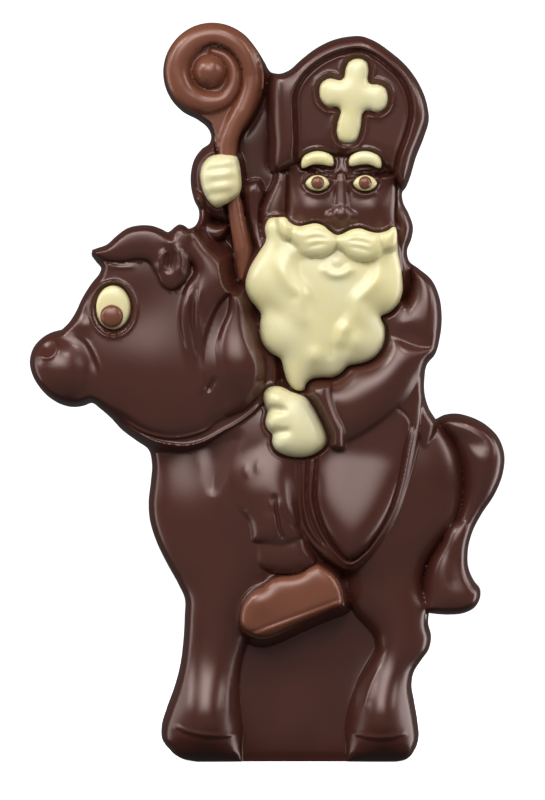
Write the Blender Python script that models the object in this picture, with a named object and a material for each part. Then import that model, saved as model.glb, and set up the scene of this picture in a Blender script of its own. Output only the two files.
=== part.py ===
"""Moulded chocolate figure of a bearded rider with a mitre and a crozier on a small horse.

A dark chocolate body, flat at the back and at the foot, carries inlays of milk and white chocolate.
All shapes are heights above the flat back, worked out from outlines in millimetres.
The front looks along -Y, +X is to the right and +Z is up. The origin is under the middle of the foot.
"""
import math

import bmesh
import bpy
import numpy as np

BACK = 14.75           # the flat back lies this far behind the origin, half the whole depth
DRAFT = 1.9            # how far the side wall leans in
PLATE = 12.5           # plain plate between the legs and behind the crozier
JOIN_GAP = 0.3         # clearance round and under an inlay
BODY_CELL = 1.05       # grid of the body before it is thinned
BODY_TRIANGLES = 6400
TOE = 3.0              # the draft fades out over this height, so that the foot is flat
CUT_DEPTH = 30.0       # pocket cutters reach this far forward
SEAT_DEPTH = {"left_pupil": 0.8, "right_pupil": 0.8, "horse_pupil": 0.8}
CORNER = 1             # third value of a point that keeps its corner


def arc(centre, radius, start, end, count):
    turn = np.radians(np.linspace(start, end, count))
    return [(centre[0] + radius * math.cos(t), centre[1] + radius * math.sin(t)) for t in turn]


def ellipse(centre, across, up, count=20):
    turn = np.linspace(0, 2 * math.pi, count, endpoint=False)
    return [(centre[0] + across * math.cos(t), centre[1] + up * math.sin(t)) for t in turn]


# Outline of the whole figure, from the horse's chin round by the left
SNOUT = [(-47.6, 96.9), (-49.6, 96.2), (-52.5, 95.8), (-55.3, 96.3), (-58.6, 98.0), (-61.6, 100.9),
         (-63.7, 104.6), (-64.4, 108.0), (-63.4, 112.0), (-61.2, 114.6), (-58.4, 116.2), (-55.8, 116.9, CORNER)]
BROW = [(-53.9, 118.7), (-52.2, 121.2), (-50.2, 125.4), (-47.4, 129.8), (-45.6, 132.0), (-45.1, 133.4)]
FORELOCK = [(-46.4, 135.2), (-48.6, 138.1, CORNER), (-45.8, 139.1), (-43.5, 139.9), (-40.9, 142.2),
            (-37.8, 144.4), (-34.6, 145.2), (-31.2, 145.1), (-28.6, 144.2), (-26.8, 143.4), (-25.2, 144.6),
            (-23.6, 145.5), (-22.2, 145.0), (-21.2, 144.3), (-19.9, 144.8)]
RAISED_ARM = [(-18.6, 147.0), (-18.5, 149.0), (-19.8, 152.0), (-20.7, 156.0), (-20.7, 159.5), (-19.6, 163.5),
              (-17.6, 166.1), (-15.6, 167.6), (-15.2, 169.3), (-16.1, 171.6), (-18.6, 173.7)]
CROOK_CENTRE = (-14.8, 186.8)
CROOK_RADIUS = 13.45
CROOK = arc(CROOK_CENTRE, CROOK_RADIUS, 233, 32, 11)
SADDLE = [(-2.4, 192.5), (-0.6, 189.5), (0.9, 187.0), (3.0, 186.2), (5.4, 186.9)]
MITRE = [(8.8, 189.8), (13.0, 193.0), (18.0, 195.4), (22.4, 196.3), (25.2, 196.4), (28.4, 195.4), (33.5, 192.1),
         (38.0, 188.1), (41.6, 182.9), (43.6, 177.6), (44.0, 174.0), (42.6, 169.0), (40.4, 163.4), (38.8, 158.0),
         (37.7, 155.4), (36.8, 154.2)]
HAIR = [(36.9, 151.9), (38.6, 148.2), (39.7, 144.6), (39.2, 141.4), (38.1, 138.4), (38.6, 135.6)]
SHOULDER = [(41.2, 133.5), (44.6, 130.6), (46.7, 126.2), (47.5, 120.6), (47.0, 114.8), (45.6, 110.0), (43.5, 107.4),
            (42.8, 103.6), (42.9, 99.2), (44.1, 95.3), (45.8, 92.6, CORNER)]
TAIL = [(48.4, 93.8), (51.2, 94.1), (55.0, 93.3), (59.4, 91.1), (62.8, 87.7), (64.5, 83.0), (64.1, 77.8),
        (61.8, 72.0), (58.3, 66.7), (55.8, 61.8), (54.6, 56.8), (54.8, 52.0), (56.3, 48.6), (57.9, 46.4),
        (57.9, 44.0), (56.2, 41.2), (53.4, 39.8), (50.0, 39.4), (46.6, 39.5), (44.0, 39.8, CORNER)]
HIND_LEG = [(43.8, 37.2), (44.6, 33.6), (44.0, 30.1), (41.9, 27.0), (39.9, 23.8), (39.3, 20.4), (39.9, 16.4),
            (40.9, 10.4), (41.2, 6.0), (40.2, 2.8), (37.6, 0.6), (35.0, 0.0, CORNER)]
FRONT_LEG = [(-19.0, 0.0, CORNER), (-23.0, 0.8), (-26.4, 2.7), (-28.5, 5.6), (-28.7, 8.8), (-27.3, 14.0),
             (-25.2, 19.8), (-23.7, 25.4), (-22.8, 32.0), (-22.4, 39.0), (-22.4, 43.9), (-24.0, 47.5),
             (-27.2, 53.3), (-30.2, 59.6), (-31.9, 65.4), (-32.2, 70.0), (-31.6, 75.6), (-31.3, 80.4),
             (-32.2, 84.2), (-35.4, 86.6), (-39.4, 89.6), (-42.6, 93.0), (-45.4, 95.4)]
SILHOUETTE = (SNOUT + BROW + FORELOCK + RAISED_ARM + CROOK + SADDLE + MITRE + HAIR + SHOULDER + TAIL
              + HIND_LEG + FRONT_LEG)

# Outlines of the raised forms of the body; they may run on past the silhouette
HORSE_BODY = [(-7.5, -6), (-6.8, 4), (-6.7, 9), (-7.3, 15), (-7.6, 21), (-6.9, 27), (-5.4, 32), (-3, 38), (4, 46),
              (14, 51), (20.4, 51.5), (20.7, 47.5), (21.8, 43.8), (24.2, 39.4), (27.3, 36.2), (29.2, 33.2),
              (29.3, 30.6), (27.6, 27.4), (25.0, 22.6), (23.0, 18.0), (21.8, 13.6), (21.2, 9.0), (21.5, 3.0),
              (22.0, -6), (52, -6), (52, 30), (45, 41), (42.2, 47), (43, 53), (46.6, 58.6), (51.2, 64.5),
              (53.2, 72), (52.9, 79), (51.4, 84.4), (47.5, 90.5), (42, 96), (30, 104), (0, 106), (-36, 98),
              (-38, 60), (-30, 30), (-36, 6), (-30, -6)]
FRONT_HOOF = [(-32, -5), (-30, 9), (-25.6, 9.6), (-22, 8.7), (-18, 8.0), (-14, 7.8), (-9.5, 8.2), (-7.2, 8.6),
              (-7.4, -5)]
HIND_HOOF = [(21.6, -5), (21.4, 8.0), (27, 7.2), (31, 6.9), (35, 7.5), (38.4, 8.6), (44, 9), (44, -5)]
TAIL_ROOT = [(44.0, 95.5), (47.0, 90.2), (50.6, 85.6), (52.4, 80.0), (52.8, 72.6), (50.6, 64.8), (46.2, 58.6),
             (43.0, 52.8), (42.0, 47.0), (42.6, 41.0), (43.6, 36), (60, 34), (64, 48), (60, 58), (70, 74),
             (70, 96), (54, 100)]
TAIL_TIP = [(49.6, 64.0), (46.6, 58.2), (44.0, 54), (42.9, 49), (42.8, 44), (43.5, 36), (60, 34), (64, 46),
            (55, 52), (56, 60), (54, 66)]
HORSE_NECK = [(-44, 94.6), (-39, 91.0), (-35, 88.3), (-30, 85.9), (-25, 84.9), (-21.5, 84.8), (-17, 85.9),
              (-12, 88.6), (-7, 91.4), (-3.4, 94.2), (-0.6, 97.4), (2.0, 101), (2.6, 106), (0.6, 112),
              (-2.6, 116.6), (-5.4, 121.0), (-6.8, 126.4), (-8.8, 131.0), (-11.8, 135.8), (-15.6, 139.8),
              (-19.0, 142.6), (-18, 150), (-50, 150), (-70, 120), (-70, 96), (-56, 90)]
HORSE_CHEEK = [(-46.4, 95.8), (-43, 94.2), (-39, 92.2), (-35, 89.5), (-30, 87.6), (-25, 87.0), (-20, 87.8),
               (-16, 89.4), (-13.8, 91.2), (-11, 92.6), (-7.6, 94.0), (-3.4, 97.2), (-0.9, 101.4),
               (-0.3, 106.0), (-1.4, 111.0), (-3.6, 115.0), (-5.6, 120.2), (-7.2, 126.0), (-9.2, 130.6),
               (-12.4, 135.4), (-15.6, 138.6), (-19.6, 142.0), (-18, 150), (-50, 150), (-70, 120), (-70, 96),
               (-56, 92)]
SNOUT_CENTRE = (-55.6, 105.6)
NOSTRIL = (-58.8, 110.8)
FRONT_LOCK = [(-19.6, 132.6), (-21.8, 128.6), (-23.6, 123.8), (-24.1, 118.6), (-22.8, 113.2), (-20.8, 107.6),
              (-19.0, 102.6), (-17.6, 98.8), (-15.8, 100.2), (-14.4, 103.6), (-13.7, 109), (-12.8, 116.0),
              (-11.4, 123.6), (-11.2, 131), (-15, 136.4)]
MANE = [(-24.6, 147), (-20.6, 137), (-19.6, 131.0), (-18.2, 124), (-15.6, 116), (-14.8, 108.6), (-14.4, 103.0),
        (-12.8, 97.6), (-11.9, 92.6), (-7.6, 94.0), (-3.4, 97.2), (-0.9, 101.4), (-0.3, 106.0), (-1.4, 111.0),
        (-3.6, 115.0), (-5.6, 120.2), (-7.2, 126.0), (-9.2, 130.6), (-12.4, 135.4), (-15.6, 138.6),
        (-19.6, 142.0), (-19.6, 147)]
FRINGE = [(-49.4, 138.6), (-46.2, 136.3), (-42.4, 135.1), (-38.4, 134.7), (-34.6, 135.2), (-32.0, 134.8),
          (-30.0, 131.6), (-28.2, 128.2), (-25.6, 127.0), (-22.8, 128.4), (-20.8, 131.6), (-20.4, 136),
          (-19.6, 141), (-19, 148), (-50, 150)]
HORSE_EAR = [(-25.3, 139.4), (-27.6, 137.2), (-29.4, 134.2), (-29.0, 131.6), (-26.8, 130.4), (-24.0, 131.0),
             (-22.2, 132.6), (-22.2, 135.4), (-23.4, 138.2)]
HOOD = [(-7.4, 168.5), (-7.6, 164), (-7.0, 159), (-5.9, 154), (-5.4, 148), (-4.4, 141), (-2.0, 137), (4.5, 138),
        (8, 150), (8, 162), (1.6, 160), (1.2, 170), (0.8, 183), (-0.6, 179.6), (-2.4, 175), (-5.2, 170.8)]
RAISED_SLEEVE = [(-24, 150), (-22, 160), (-18, 168), (-16.8, 172), (-10, 171), (-7.6, 166.4), (-7.3, 162),
                 (-6.7, 158), (-6.0, 154), (-5.6, 149), (-9, 146), (-16, 147)]
CUFF_ROLL = [(-21.6, 146.0), (-18.6, 147.4), (-15.6, 145.9), (-13.2, 144.9), (-10.8, 144.8), (-11.2, 142.8),
             (-12.8, 141.2), (-14.8, 140.8), (-17.4, 142.0), (-19.6, 143.4), (-22, 143.8)]
COLLAR = [(-6.4, 155.6), (-4.4, 157.2), (-2.2, 157.4), (-0.9, 155.2), (-0.5, 153.4), (-1.4, 150.2),
          (-1.7, 146.8), (-1.0, 143.0), (0.6, 139.0), (-2, 134), (-4, 133), (-5.0, 137), (-5.4, 142), (-5.8, 150)]
LEFT_HAIR = [(2.6, 160.0), (1.8, 157.0), (-0.2, 153.0), (-1.7, 149.6), (-1.9, 146.2), (-1.2, 142.8),
             (0.4, 139.8), (5, 138), (6.0, 150), (6.2, 161.2)]
RIGHT_HAIR = [(34.9, 158), (34.7, 152), (34.4, 147), (34.8, 143), (35.4, 138), (36, 134), (38.8, 133.4),
              (42, 136), (44, 146), (40, 156)]
LOW_HAIR = [(34.4, 141), (36.4, 138.4), (40, 136), (39.3, 132), (39.1, 129), (38.0, 125.6), (36.0, 122.8),
            (33.2, 120.5), (31, 122), (33, 130)]
FACE = [(6.0, 163), (5.7, 155), (5.6, 149), (5.6, 140), (20, 132), (34.6, 138), (34.6, 148), (34.6, 155),
        (35, 163), (20, 168)]
MITRE_RIM = [(2.6, 159.4), (6.8, 160.6), (20, 163), (33.6, 158.8), (37.8, 153.4), (48, 158), (50, 180),
             (26, 202), (10, 196), (2.4, 187.4), (1.2, 183), (1.0, 176), (1.4, 168)]
MITRE_FIELD = [(7.6, 161.6), (7.3, 168), (7.0, 175), (7.0, 179.6), (8.6, 183.6), (12.2, 187.6), (16.6, 190.4),
               (21.4, 192.0), (25.0, 192.3), (28.6, 191.0), (33.0, 187.8), (36.6, 184.2), (38.8, 179.4),
               (39.3, 174.6), (38.2, 169.6), (36.0, 163.4), (34.4, 158.6), (30, 158), (12, 159)]
UPPER_ARM = [(39.0, 134.2), (39.1, 130.0), (38.3, 126.0), (36.2, 122.9), (33.4, 120.6), (31.4, 119.8),
             (31.6, 117.4), (32.6, 115.0), (36.6, 114.0), (40.2, 112.6), (43.0, 110.6), (46, 106.5), (54, 110),
             (54, 128), (44, 140)]
FOREARM = [(32.2, 115.6), (32.4, 113.8), (30.6, 110.4), (28.0, 108.4), (22.8, 106.8), (20.4, 104.6),
           (18.2, 103.2), (12.6, 102.8), (10.6, 101.0), (10.2, 99.4), (12.2, 96.4), (14.2, 92.6), (16.0, 88.6),
           (17.8, 85.8), (20.2, 84.6), (23.0, 85.6), (27.4, 88.0), (32.2, 91.4), (36.4, 95.2), (39.6, 99.6),
           (41.8, 104.0), (45.6, 107.6), (48, 112), (41.0, 112.8), (36.8, 114.4)]
CUFF = [(9.6, 100.8), (12.8, 102.6), (17.2, 102.4), (17.6, 99.6), (18.6, 96.2), (19.8, 93.2), (20.9, 90.8),
        (21.0, 87.6), (20.4, 84.4), (18.0, 84.6), (16.4, 87.2), (14.4, 91.4), (12.2, 96.0)]
CLOAK = [(7.4, 86), (7.4, 77), (7.9, 69.5), (9.0, 63.6), (12.0, 58.6), (16.4, 54.8), (22.7, 51.8), (27.6, 55.2),
         (31.8, 60.6), (35.4, 67.4), (38.0, 75.2), (39.9, 83.2), (41.2, 91.4), (42.0, 98), (50, 104),
         (40, 122), (10, 122)]
CLOAK_FIELD = [(13.6, 90), (13.4, 82), (12.9, 76), (12.8, 71), (13.9, 66), (15.8, 61.8), (18.6, 57.8),
               (22.3, 54.6), (25.8, 56.6), (29.6, 61.2), (33.0, 67.4), (35.6, 75.4), (37.2, 84), (38.6, 92),
               (30, 98), (16, 98)]
HIP = [(39.6, 103.0), (38.2, 97.4), (38.6, 91.6), (40.0, 86.4), (41.6, 83.2), (43.6, 84.8), (45.4, 88.6),
       (45.9, 92.6), (50, 98), (50, 106)]
KNEE = [(-10.2, 80.2), (-10.3, 75.6), (-9.4, 71.0), (-7.4, 67.4), (-5.4, 64.8), (-4.6, 60.8), (-3.8, 56.6),
        (-2.6, 53.0), (1.0, 51.2), (5.4, 50.6), (9.6, 51.6), (13.0, 54.6), (10.6, 59), (9.0, 64), (8.0, 70),
        (7.6, 77), (8, 88), (2, 90), (-2.0, 86.6), (-6.2, 84.8), (-8.8, 82.6)]
SOLE = [(-7.4, 35.0), (-8.6, 38.8), (-8.4, 42.0), (-6.8, 45.4), (-3.4, 48.4), (-1.6, 51.4), (4, 54), (14, 56),
        (20.8, 51.2), (22.2, 44.6), (21.8, 41.4), (17.6, 39.6), (11.6, 37.2), (5.4, 34.4), (1.4, 32.2),
        (-1.6, 31.4), (-4.6, 32.2)]

# Outlines of the milk and white chocolate inlays
BEARD = [(0.6, 146.6), (-0.6, 144.0), (-0.2, 141.0), (-1.9, 137.9), (-4.1, 134.4), (-5.5, 131.0), (-5.8, 128.2),
         (-4.9, 125.4), (-3.1, 123.0), (-1.6, 120.8), (-1.9, 118.2), (-1.8, 115.2), (-0.8, 112.4), (1.2, 110.3),
         (3.6, 108.9), (4.5, 106.0), (5.4, 103.0), (6.9, 100.9), (8.6, 100.2), (9.9, 100.4), (10.4, 101.9),
         (12.0, 103.4), (14.8, 103.8), (17.8, 103.9), (20.0, 105.1), (21.8, 106.9), (24.0, 107.4),
         (26.6, 108.0), (29.2, 109.5), (31.0, 111.9), (31.8, 115.0), (31.6, 117.6), (30.6, 120.2),
         (32.8, 121.2), (35.1, 123.4), (36.4, 126.4), (36.5, 129.6), (36.0, 133.4), (35.2, 137.4),
         (34.9, 140.6), (34.9, 142.6), (34.3, 144.3), (32.4, 143.2), (29.6, 142.6), (27.2, 143.1),
         (25.0, 143.8), (22.4, 143.4), (20.4, 142.4), (18.8, 142.0), (17.2, 142.8), (15.2, 144.5),
         (13.0, 145.2), (10.8, 144.8), (8.6, 144.4), (6.4, 145.2), (4.6, 146.9), (3.4, 146.8)]
MOUSTACHE = [(3.4, 147.6), (3.0, 145.2), (3.2, 143.0), (4.5, 141.2), (6.3, 140.3), (7.5, 139.6), (9.4, 137.2),
             (12.4, 136.1), (15.4, 136.4), (17.6, 137.7), (18.8, 138.8), (19.8, 138.5), (21.8, 136.5),
             (24.4, 135.2), (27.4, 135.0), (29.8, 136.1), (31.2, 137.6), (33.5, 138.2), (34.9, 140.0),
             (36, 145), (28, 146), (18.8, 144), (11, 148)]
REIN_GLOVE = [(-0.7, 99.8), (-0.9, 98.0), (-0.5, 96.2), (0.2, 94.7), (-0.1, 93.3), (-0.4, 91.6), (0.2, 89.9),
              (1.5, 88.4), (1.4, 86.4), (2.4, 84.3), (4.6, 83.0), (7.6, 82.4), (11.0, 82.6), (13.8, 83.8),
              (15.6, 85.5), (16.0, 87.6), (15.2, 90.1), (13.8, 93.1), (12.0, 96.4), (10.3, 98.5), (8.8, 99.2),
              (6.4, 100.0), (4.4, 101.1), (2.4, 101.5), (0.2, 100.9)]
STAFF_GLOVE = [(-15.6, 163.1), (-17.2, 161.4), (-17.9, 158.8), (-17.6, 155.6), (-16.7, 152.9), (-15.1, 150.6),
               (-13.6, 149.6), (-11.6, 150.3), (-9.4, 151.6), (-7.6, 153.0), (-6.9, 155.2), (-7.0, 158.2),
               (-7.4, 161.2), (-8.1, 163.3), (-10.4, 164.0), (-13.2, 163.9)]
SHOE = [(-6.7, 36.9), (-7.1, 39.6), (-6.5, 42.4), (-5.0, 45.0), (-2.6, 46.8), (-0.6, 47.6), (1.0, 49.2),
        (3.4, 50.1), (6.4, 50.3), (9.2, 51.0), (11.8, 52.7), (13.6, 53.4), (15.6, 52.4), (18.0, 50.6),
        (19.4, 48.2), (20.4, 44.6), (20.3, 42.8), (17.2, 41.4), (12.0, 39.2), (6.0, 36.5), (2.0, 34.8),
        (-1.0, 34.0), (-3.8, 34.6), (-5.8, 35.8)]
CROSS = [(20.7, 185.2), (21.3, 187.4), (22.6, 189.0), (24.6, 189.6), (26.8, 188.8), (27.7, 186.8), (27.7, 184.4),
         (28.4, 182.9), (30.4, 182.2), (32.0, 181.0), (32.6, 178.6), (31.9, 176.2), (30.0, 175.2), (27.4, 175.4),
         (26.0, 174.4), (25.4, 172.0), (24.8, 169.4), (23.6, 167.5), (21.8, 166.8), (19.8, 167.8), (18.7, 170.0),
         (19.0, 172.8), (19.3, 175.2), (18.3, 176.3), (16.4, 176.5), (14.7, 178.2), (14.1, 180.6), (14.7, 182.9),
         (16.6, 184.2), (19.3, 184.2)]
CROOK_INLAY = (arc(CROOK_CENTRE, 12.7, 236, 40, 14)
               + [(-3.2, 192.6), (-1.7, 189.4), (-0.9, 185.6), (-1.1, 181.6), (-2.7, 176.6), (-5.0, 172.6),
                  (-7.2, 169.4), (-7.9, 166.8), (-8.1, 164.9, CORNER), (-12.6, 164.9, CORNER), (-13.5, 166.4), (-13.6, 168.4),
                  (-13.8, 170.4), (-15.0, 172.6), (-17.2, 174.2), (-19.6, 175.2)])
STAFF = [(-10.3, 150.3, CORNER), (-9.9, 145), (-8.9, 138), (-8.0, 131.5), (-7.4, 129.6), (-6.2, 131.0),
         (-4.6, 134.4), (-3.8, 137.0), (-4.6, 141), (-6.0, 147), (-7.1, 151.8, CORNER)]

# The face is the builder's own plain one: the eyes lie one eye's width apart on a face five eyes wide
FACE_AXIS = 20.0
EYE_WIDTH = 6.4
EYE_HEIGHT = 5.2
EYE_LINE = 156.2
PUPIL = 1.75
BROW_LINE = 162.6
HORSE_EYE = (-41.3, 122.6)
HORSE_PUPIL = (-41.7, 120.3)


def curve(points, closed=True, step=1.5):
    """A smooth curve through the points, which keeps the marked corners."""
    spots = np.array([point[:2] for point in points], float)
    corner = np.array([len(point) > 2 for point in points])
    run = np.roll(spots, -1, 0) - spots
    length = np.maximum(np.hypot(*run.T), 1e-9)
    ahead = run / length[:, None]
    behind = np.roll(ahead, 1, 0)
    before = np.roll(length, 1)
    middle = (ahead * before[:, None] + behind * length[:, None]) / (length + before)[:, None]
    leave = np.where(corner[:, None], ahead, middle)
    arrive = np.where(corner[:, None], behind, middle)
    if not closed:
        leave[0] = ahead[0]
        arrive[-1] = ahead[-2]
    pieces = []
    for i in range(len(spots) if closed else len(spots) - 1):
        j = (i + 1) % len(spots)
        t = np.linspace(0, 1, max(2, math.ceil(length[i] / step) + 1))[:-1, None]
        pieces.append((2 * t**3 - 3 * t**2 + 1) * spots[i] + (t**3 - 2 * t**2 + t) * length[i] * leave[i]
                      + (3 * t**2 - 2 * t**3) * spots[j] + (t**3 - t**2) * length[i] * arrive[j])
    if not closed:
        pieces.append(spots[-1:])
    return np.concatenate(pieces)


def sides_of(loop, closed=True):
    start = loop if closed else loop[:-1]
    end = np.roll(loop, -1, 0) if closed else loop[1:]
    length = np.hypot(*(end - start).T)
    kept = length > 1e-6
    return start[kept], end[kept], (end - start)[kept] / length[kept, None], length[kept]


def nearest_on(spots, loop, closed=True):
    """The nearest point of a curve to each spot, and how far along the curve it lies, 0 to 1."""
    start, _, along, length = sides_of(loop, closed)
    offset = spots[:, None, :] - start[None]
    run = np.clip((offset * along).sum(2), 0, length)
    gap = np.hypot(offset[..., 0] - run * along[:, 0], offset[..., 1] - run * along[:, 1])
    best = gap.argmin(1)
    row = np.arange(len(spots))
    travelled = np.concatenate([[0], np.cumsum(length)[:-1]])
    foot = start[best] + run[row, best, None] * along[best]
    return foot, (travelled[best] + run[row, best]) / length.sum()


def depth_in(spots, loop):
    """How deep each spot lies inside a closed curve, and the pull of the curve's sides on it.

    The pull is the integral of 1/r^3 along the curve. Turned back into a distance it gives a
    depth with no creases along the middle of a form.
    """
    start, end, along, length = sides_of(loop)
    offset = spots[:, None, :] - start[None]
    run = (offset * along).sum(2)
    aside = (offset[..., 0] * along[:, 1] - offset[..., 1] * along[:, 0])**2
    gap = np.sqrt((aside + (run - np.clip(run, 0, length))**2).min(1))
    soft = aside + 1e-3
    rest = length - run
    pull = ((rest / np.sqrt(soft + rest * rest) + run / np.sqrt(soft + run * run)) / soft).sum(1)
    height = spots[:, 1:2]
    spans = (start[:, 1] > height) != (end[:, 1] > height)
    rise = np.where(np.abs(end[:, 1] - start[:, 1]) < 1e-12, 1e-12, end[:, 1] - start[:, 1])
    crossing = start[:, 0] + (height - start[:, 1]) * (end[:, 0] - start[:, 0]) / rise
    inside = (spans & (spots[:, 0:1] < crossing)).sum(1) % 2 == 1
    return np.where(inside, gap, -gap), pull


def higher(one, other, blend):
    share = np.clip(0.5 + 0.5 * (one - other) / blend, 0, 1)
    return other + (one - other) * share + blend * share * (1 - share)


def dome(reach, power=2.0):
    reach = np.clip(reach, 0, 1)
    return (1 - (1 - reach)**power)**(1 / power)


def eased(t):
    t = np.clip(t, 0, 1)
    return t * t * (3 - 2 * t)


class Relief:
    """Heights above the flat back at a set of spots, built up form by form."""

    def __init__(self, spots, ground, outline=None):
        self.spots = spots
        self.height = np.full(len(spots), float(ground))
        self.depth, self.pull = depth_in(spots, curve(outline if outline else SILHOUETTE))

    def near(self, loop, margin):
        low = loop.min(0) - margin
        high = loop.max(0) + margin
        return np.nonzero(((self.spots > low) & (self.spots < high)).all(1))[0]

    def pad(self, outline, edge, crown, roll, fall=4.0, power=2.0, blend=0.8, tilt=(0, 0), about=(0, 0)):
        """A rounded form: it rises from edge to crown over the roll and falls away steeply outside."""
        loop = curve(outline)
        here = self.near(loop, 4.0)
        depth, pull = depth_in(self.spots[here], loop)
        soft = np.sqrt(2 / (pull + self.pull[here]))
        lean = (self.spots[here] - about) @ np.array(tilt, float)
        top = edge + lean + (crown - edge) * dome(soft / roll, power)
        self.height[here] = higher(self.height[here], np.where(depth > 0, top, edge + lean + fall * depth), blend)

    def ball(self, centre, radius, level, blend=0.8, stretch=1.0):
        offset = self.spots - centre
        gap = np.hypot(offset[:, 0], offset[:, 1] / stretch)
        cap = level + np.sqrt(np.maximum(radius**2 - gap**2, 0)) - 3.0 * np.maximum(gap - radius, 0)
        self.height = higher(self.height, cap, blend)

    def lower(self, outline, amount, soft=0.8):
        """Sinks what lies inside an outline, with a soft step at its edge."""
        loop = curve(outline)
        here = self.near(loop, 3.0)
        depth, _ = depth_in(self.spots[here], loop)
        self.height[here] -= amount * eased(depth / soft + 0.5)

    def line(self, points, amount, width, fade=0.15):
        """A ridge, or with a negative amount a crease, that fades out at its ends."""
        path = curve(points, closed=False)
        here = self.near(path, 3 * width)
        foot, share = nearest_on(self.spots[here], path, closed=False)
        gap = np.hypot(*(self.spots[here] - foot).T)
        strength = eased(np.minimum(share, 1 - share) / fade)
        self.height[here] += amount * strength * np.exp(-(gap / width)**2)

    def tube(self, points, level, radii, blend=0.4, fall=3.0):
        """A round rod that lies at a level, with radii spread along it."""
        path = curve(points, closed=False, step=0.8)
        here = self.near(path, max(radii) + 2)
        foot, share = nearest_on(self.spots[here], path, closed=False)
        gap = np.hypot(*(self.spots[here] - foot).T)
        radius = np.interp(share, np.linspace(0, 1, len(radii)), radii)
        rod = level + np.sqrt(np.maximum(radius**2 - gap**2, 0)) - fall * np.maximum(gap - radius, 0)
        self.height[here] = higher(self.height[here], rod, blend)

    def bump(self, centre, radius, amount, stretch=1.0):
        offset = (self.spots - centre) / (radius, radius * stretch)
        self.height += amount * np.exp(-(offset**2).sum(1))

    def lip(self, outline, groove, ridge, out=1.3):
        """A groove round an inlay with a thin raised lip outside it."""
        loop = curve(outline)
        here = self.near(loop, 4.0)
        depth, _ = depth_in(self.spots[here], loop)
        self.height[here] -= groove * np.exp(-((depth + 0.3) / 0.6)**2)
        self.height[here] += ridge * np.exp(-((depth + out) / 0.5)**2)


def horse(relief):
    relief.pad(HORSE_BODY, 13.0, 23.5, 28, fall=5)
    relief.pad(FRONT_HOOF, 16.0, 22.5, 9, blend=0.5)
    relief.pad(HIND_HOOF, 16.0, 22.5, 9, blend=0.5)
    relief.pad(TAIL_ROOT, 13.0, 22.0, 14, blend=0.5)
    relief.pad(TAIL_TIP, 15.0, 21.5, 10, blend=0.5)


def horse_head(relief):
    relief.pad(HORSE_NECK, 19.5, 22.0, 3.0, fall=2.0)
    relief.pad(HORSE_CHEEK, 20.5, 27.0, 20, fall=3)
    relief.ball(SNOUT_CENTRE, 10.2, 16.5, blend=1.2)
    relief.bump(NOSTRIL, 1.5, -1.2)
    relief.pad(FRONT_LOCK, 24.5, 27.5, 5, fall=3)
    relief.pad(MANE, 22.0, 27.5, 9, fall=3)
    relief.pad(FRINGE, 24.0, 28.5, 8, fall=3)
    relief.pad(HORSE_EAR, 26.5, 28.8, 3, fall=3, blend=0.4)


def rider_head(relief):
    relief.pad(HOOD, 12.5, 14.0, 3)
    relief.pad(RAISED_SLEEVE, 13.0, 19.5, 9)
    relief.pad(CUFF_ROLL, 15.5, 20.0, 3.5)
    relief.pad(COLLAR, 15.0, 19.0, 3.5)
    relief.pad(LEFT_HAIR, 15.5, 20.0, 5)
    relief.pad(RIGHT_HAIR, 15.5, 20.5, 5)
    relief.pad(LOW_HAIR, 15.5, 19.5, 4)
    relief.pad(FACE, 18.5, 22.0, 9)
    relief.pad(MITRE_RIM, 19.0, 24.5, 5, fall=5)
    relief.lower(MITRE_FIELD, 1.6)
    nose = [(FACE_AXIS, EYE_LINE + 1), (FACE_AXIS, EYE_LINE - 5), (FACE_AXIS, EYE_LINE - 9)]
    relief.tube(nose, 20.6, (1.2, 2.2, 3.4), blend=2.0, fall=1.0)


def rider_body(relief):
    relief.pad(CLOAK, 19.5, 23.5, 6, fall=3)
    relief.lower(CLOAK_FIELD, 0.8)
    relief.pad(HIP, 16.0, 21.5, 6, fall=3)
    relief.pad(SOLE, 19.5, 21.5, 4, fall=4)
    relief.pad(KNEE, 20.5, 27.5, 9)
    relief.pad(UPPER_ARM, 18.0, 27.0, 14)
    relief.pad(FOREARM, 21.5, 28.5, 11)
    relief.pad(CUFF, 25.0, 29.0, 5)


def body_heights(spots):
    relief = Relief(spots, PLATE)
    horse(relief)
    rider_head(relief)
    rider_body(relief)
    horse_head(relief)
    for inlay in INLAYS.values():
        if inlay.get("host", "body") == "body":
            relief.pad(inlay["outline"], inlay["seat"], inlay["seat"] + 0.3, 1, fall=3, blend=0.5)
    toe = 0.12 * eased(1 - spots[:, 1] / 3.0)
    return relief.height * (1 - toe)


def beard_heights(spots):
    relief = Relief(spots, 0, BEARD)
    relief.pad(BEARD, 22.0, 28.0, 12)
    relief.line([(2, 140), (3, 133), (8, 127), (10, 120), (9, 112)], 1.4, 3.2)
    relief.line([(32, 134), (29, 127), (25, 121), (23, 113)], 1.4, 3.2)
    relief.pad(MOUSTACHE, 26.5, 30.0, 5, fall=2.5)
    relief.line([(14.0, 135.0), (16.0, 132.6), (19.0, 131.6), (22.0, 132.6), (24.0, 135.0)], 0.9, 1.2)
    return relief.height


def rein_glove_heights(spots):
    relief = Relief(spots, 0, REIN_GLOVE)
    relief.pad(REIN_GLOVE, 22.5, 28.5, 7)
    relief.line([(-1.2, 94.8), (3.0, 95.4), (7.0, 94.8)], -0.8, 0.9, fade=0.3)
    relief.line([(0.4, 88.8), (4.0, 89.6), (7.6, 89.4)], -0.8, 0.9, fade=0.3)
    return relief.height


def staff_glove_heights(spots):
    relief = Relief(spots, 0, STAFF_GLOVE)
    relief.pad(STAFF_GLOVE, 19.5, 24.5, 6)
    relief.line([(-17.0, 158.0), (-12.5, 158.6), (-8.0, 160.0)], -0.7, 1.0, fade=0.3)
    relief.line([(-16.4, 154.4), (-12.0, 155.2), (-8.0, 156.6)], -0.7, 1.0, fade=0.3)
    return relief.height


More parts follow.
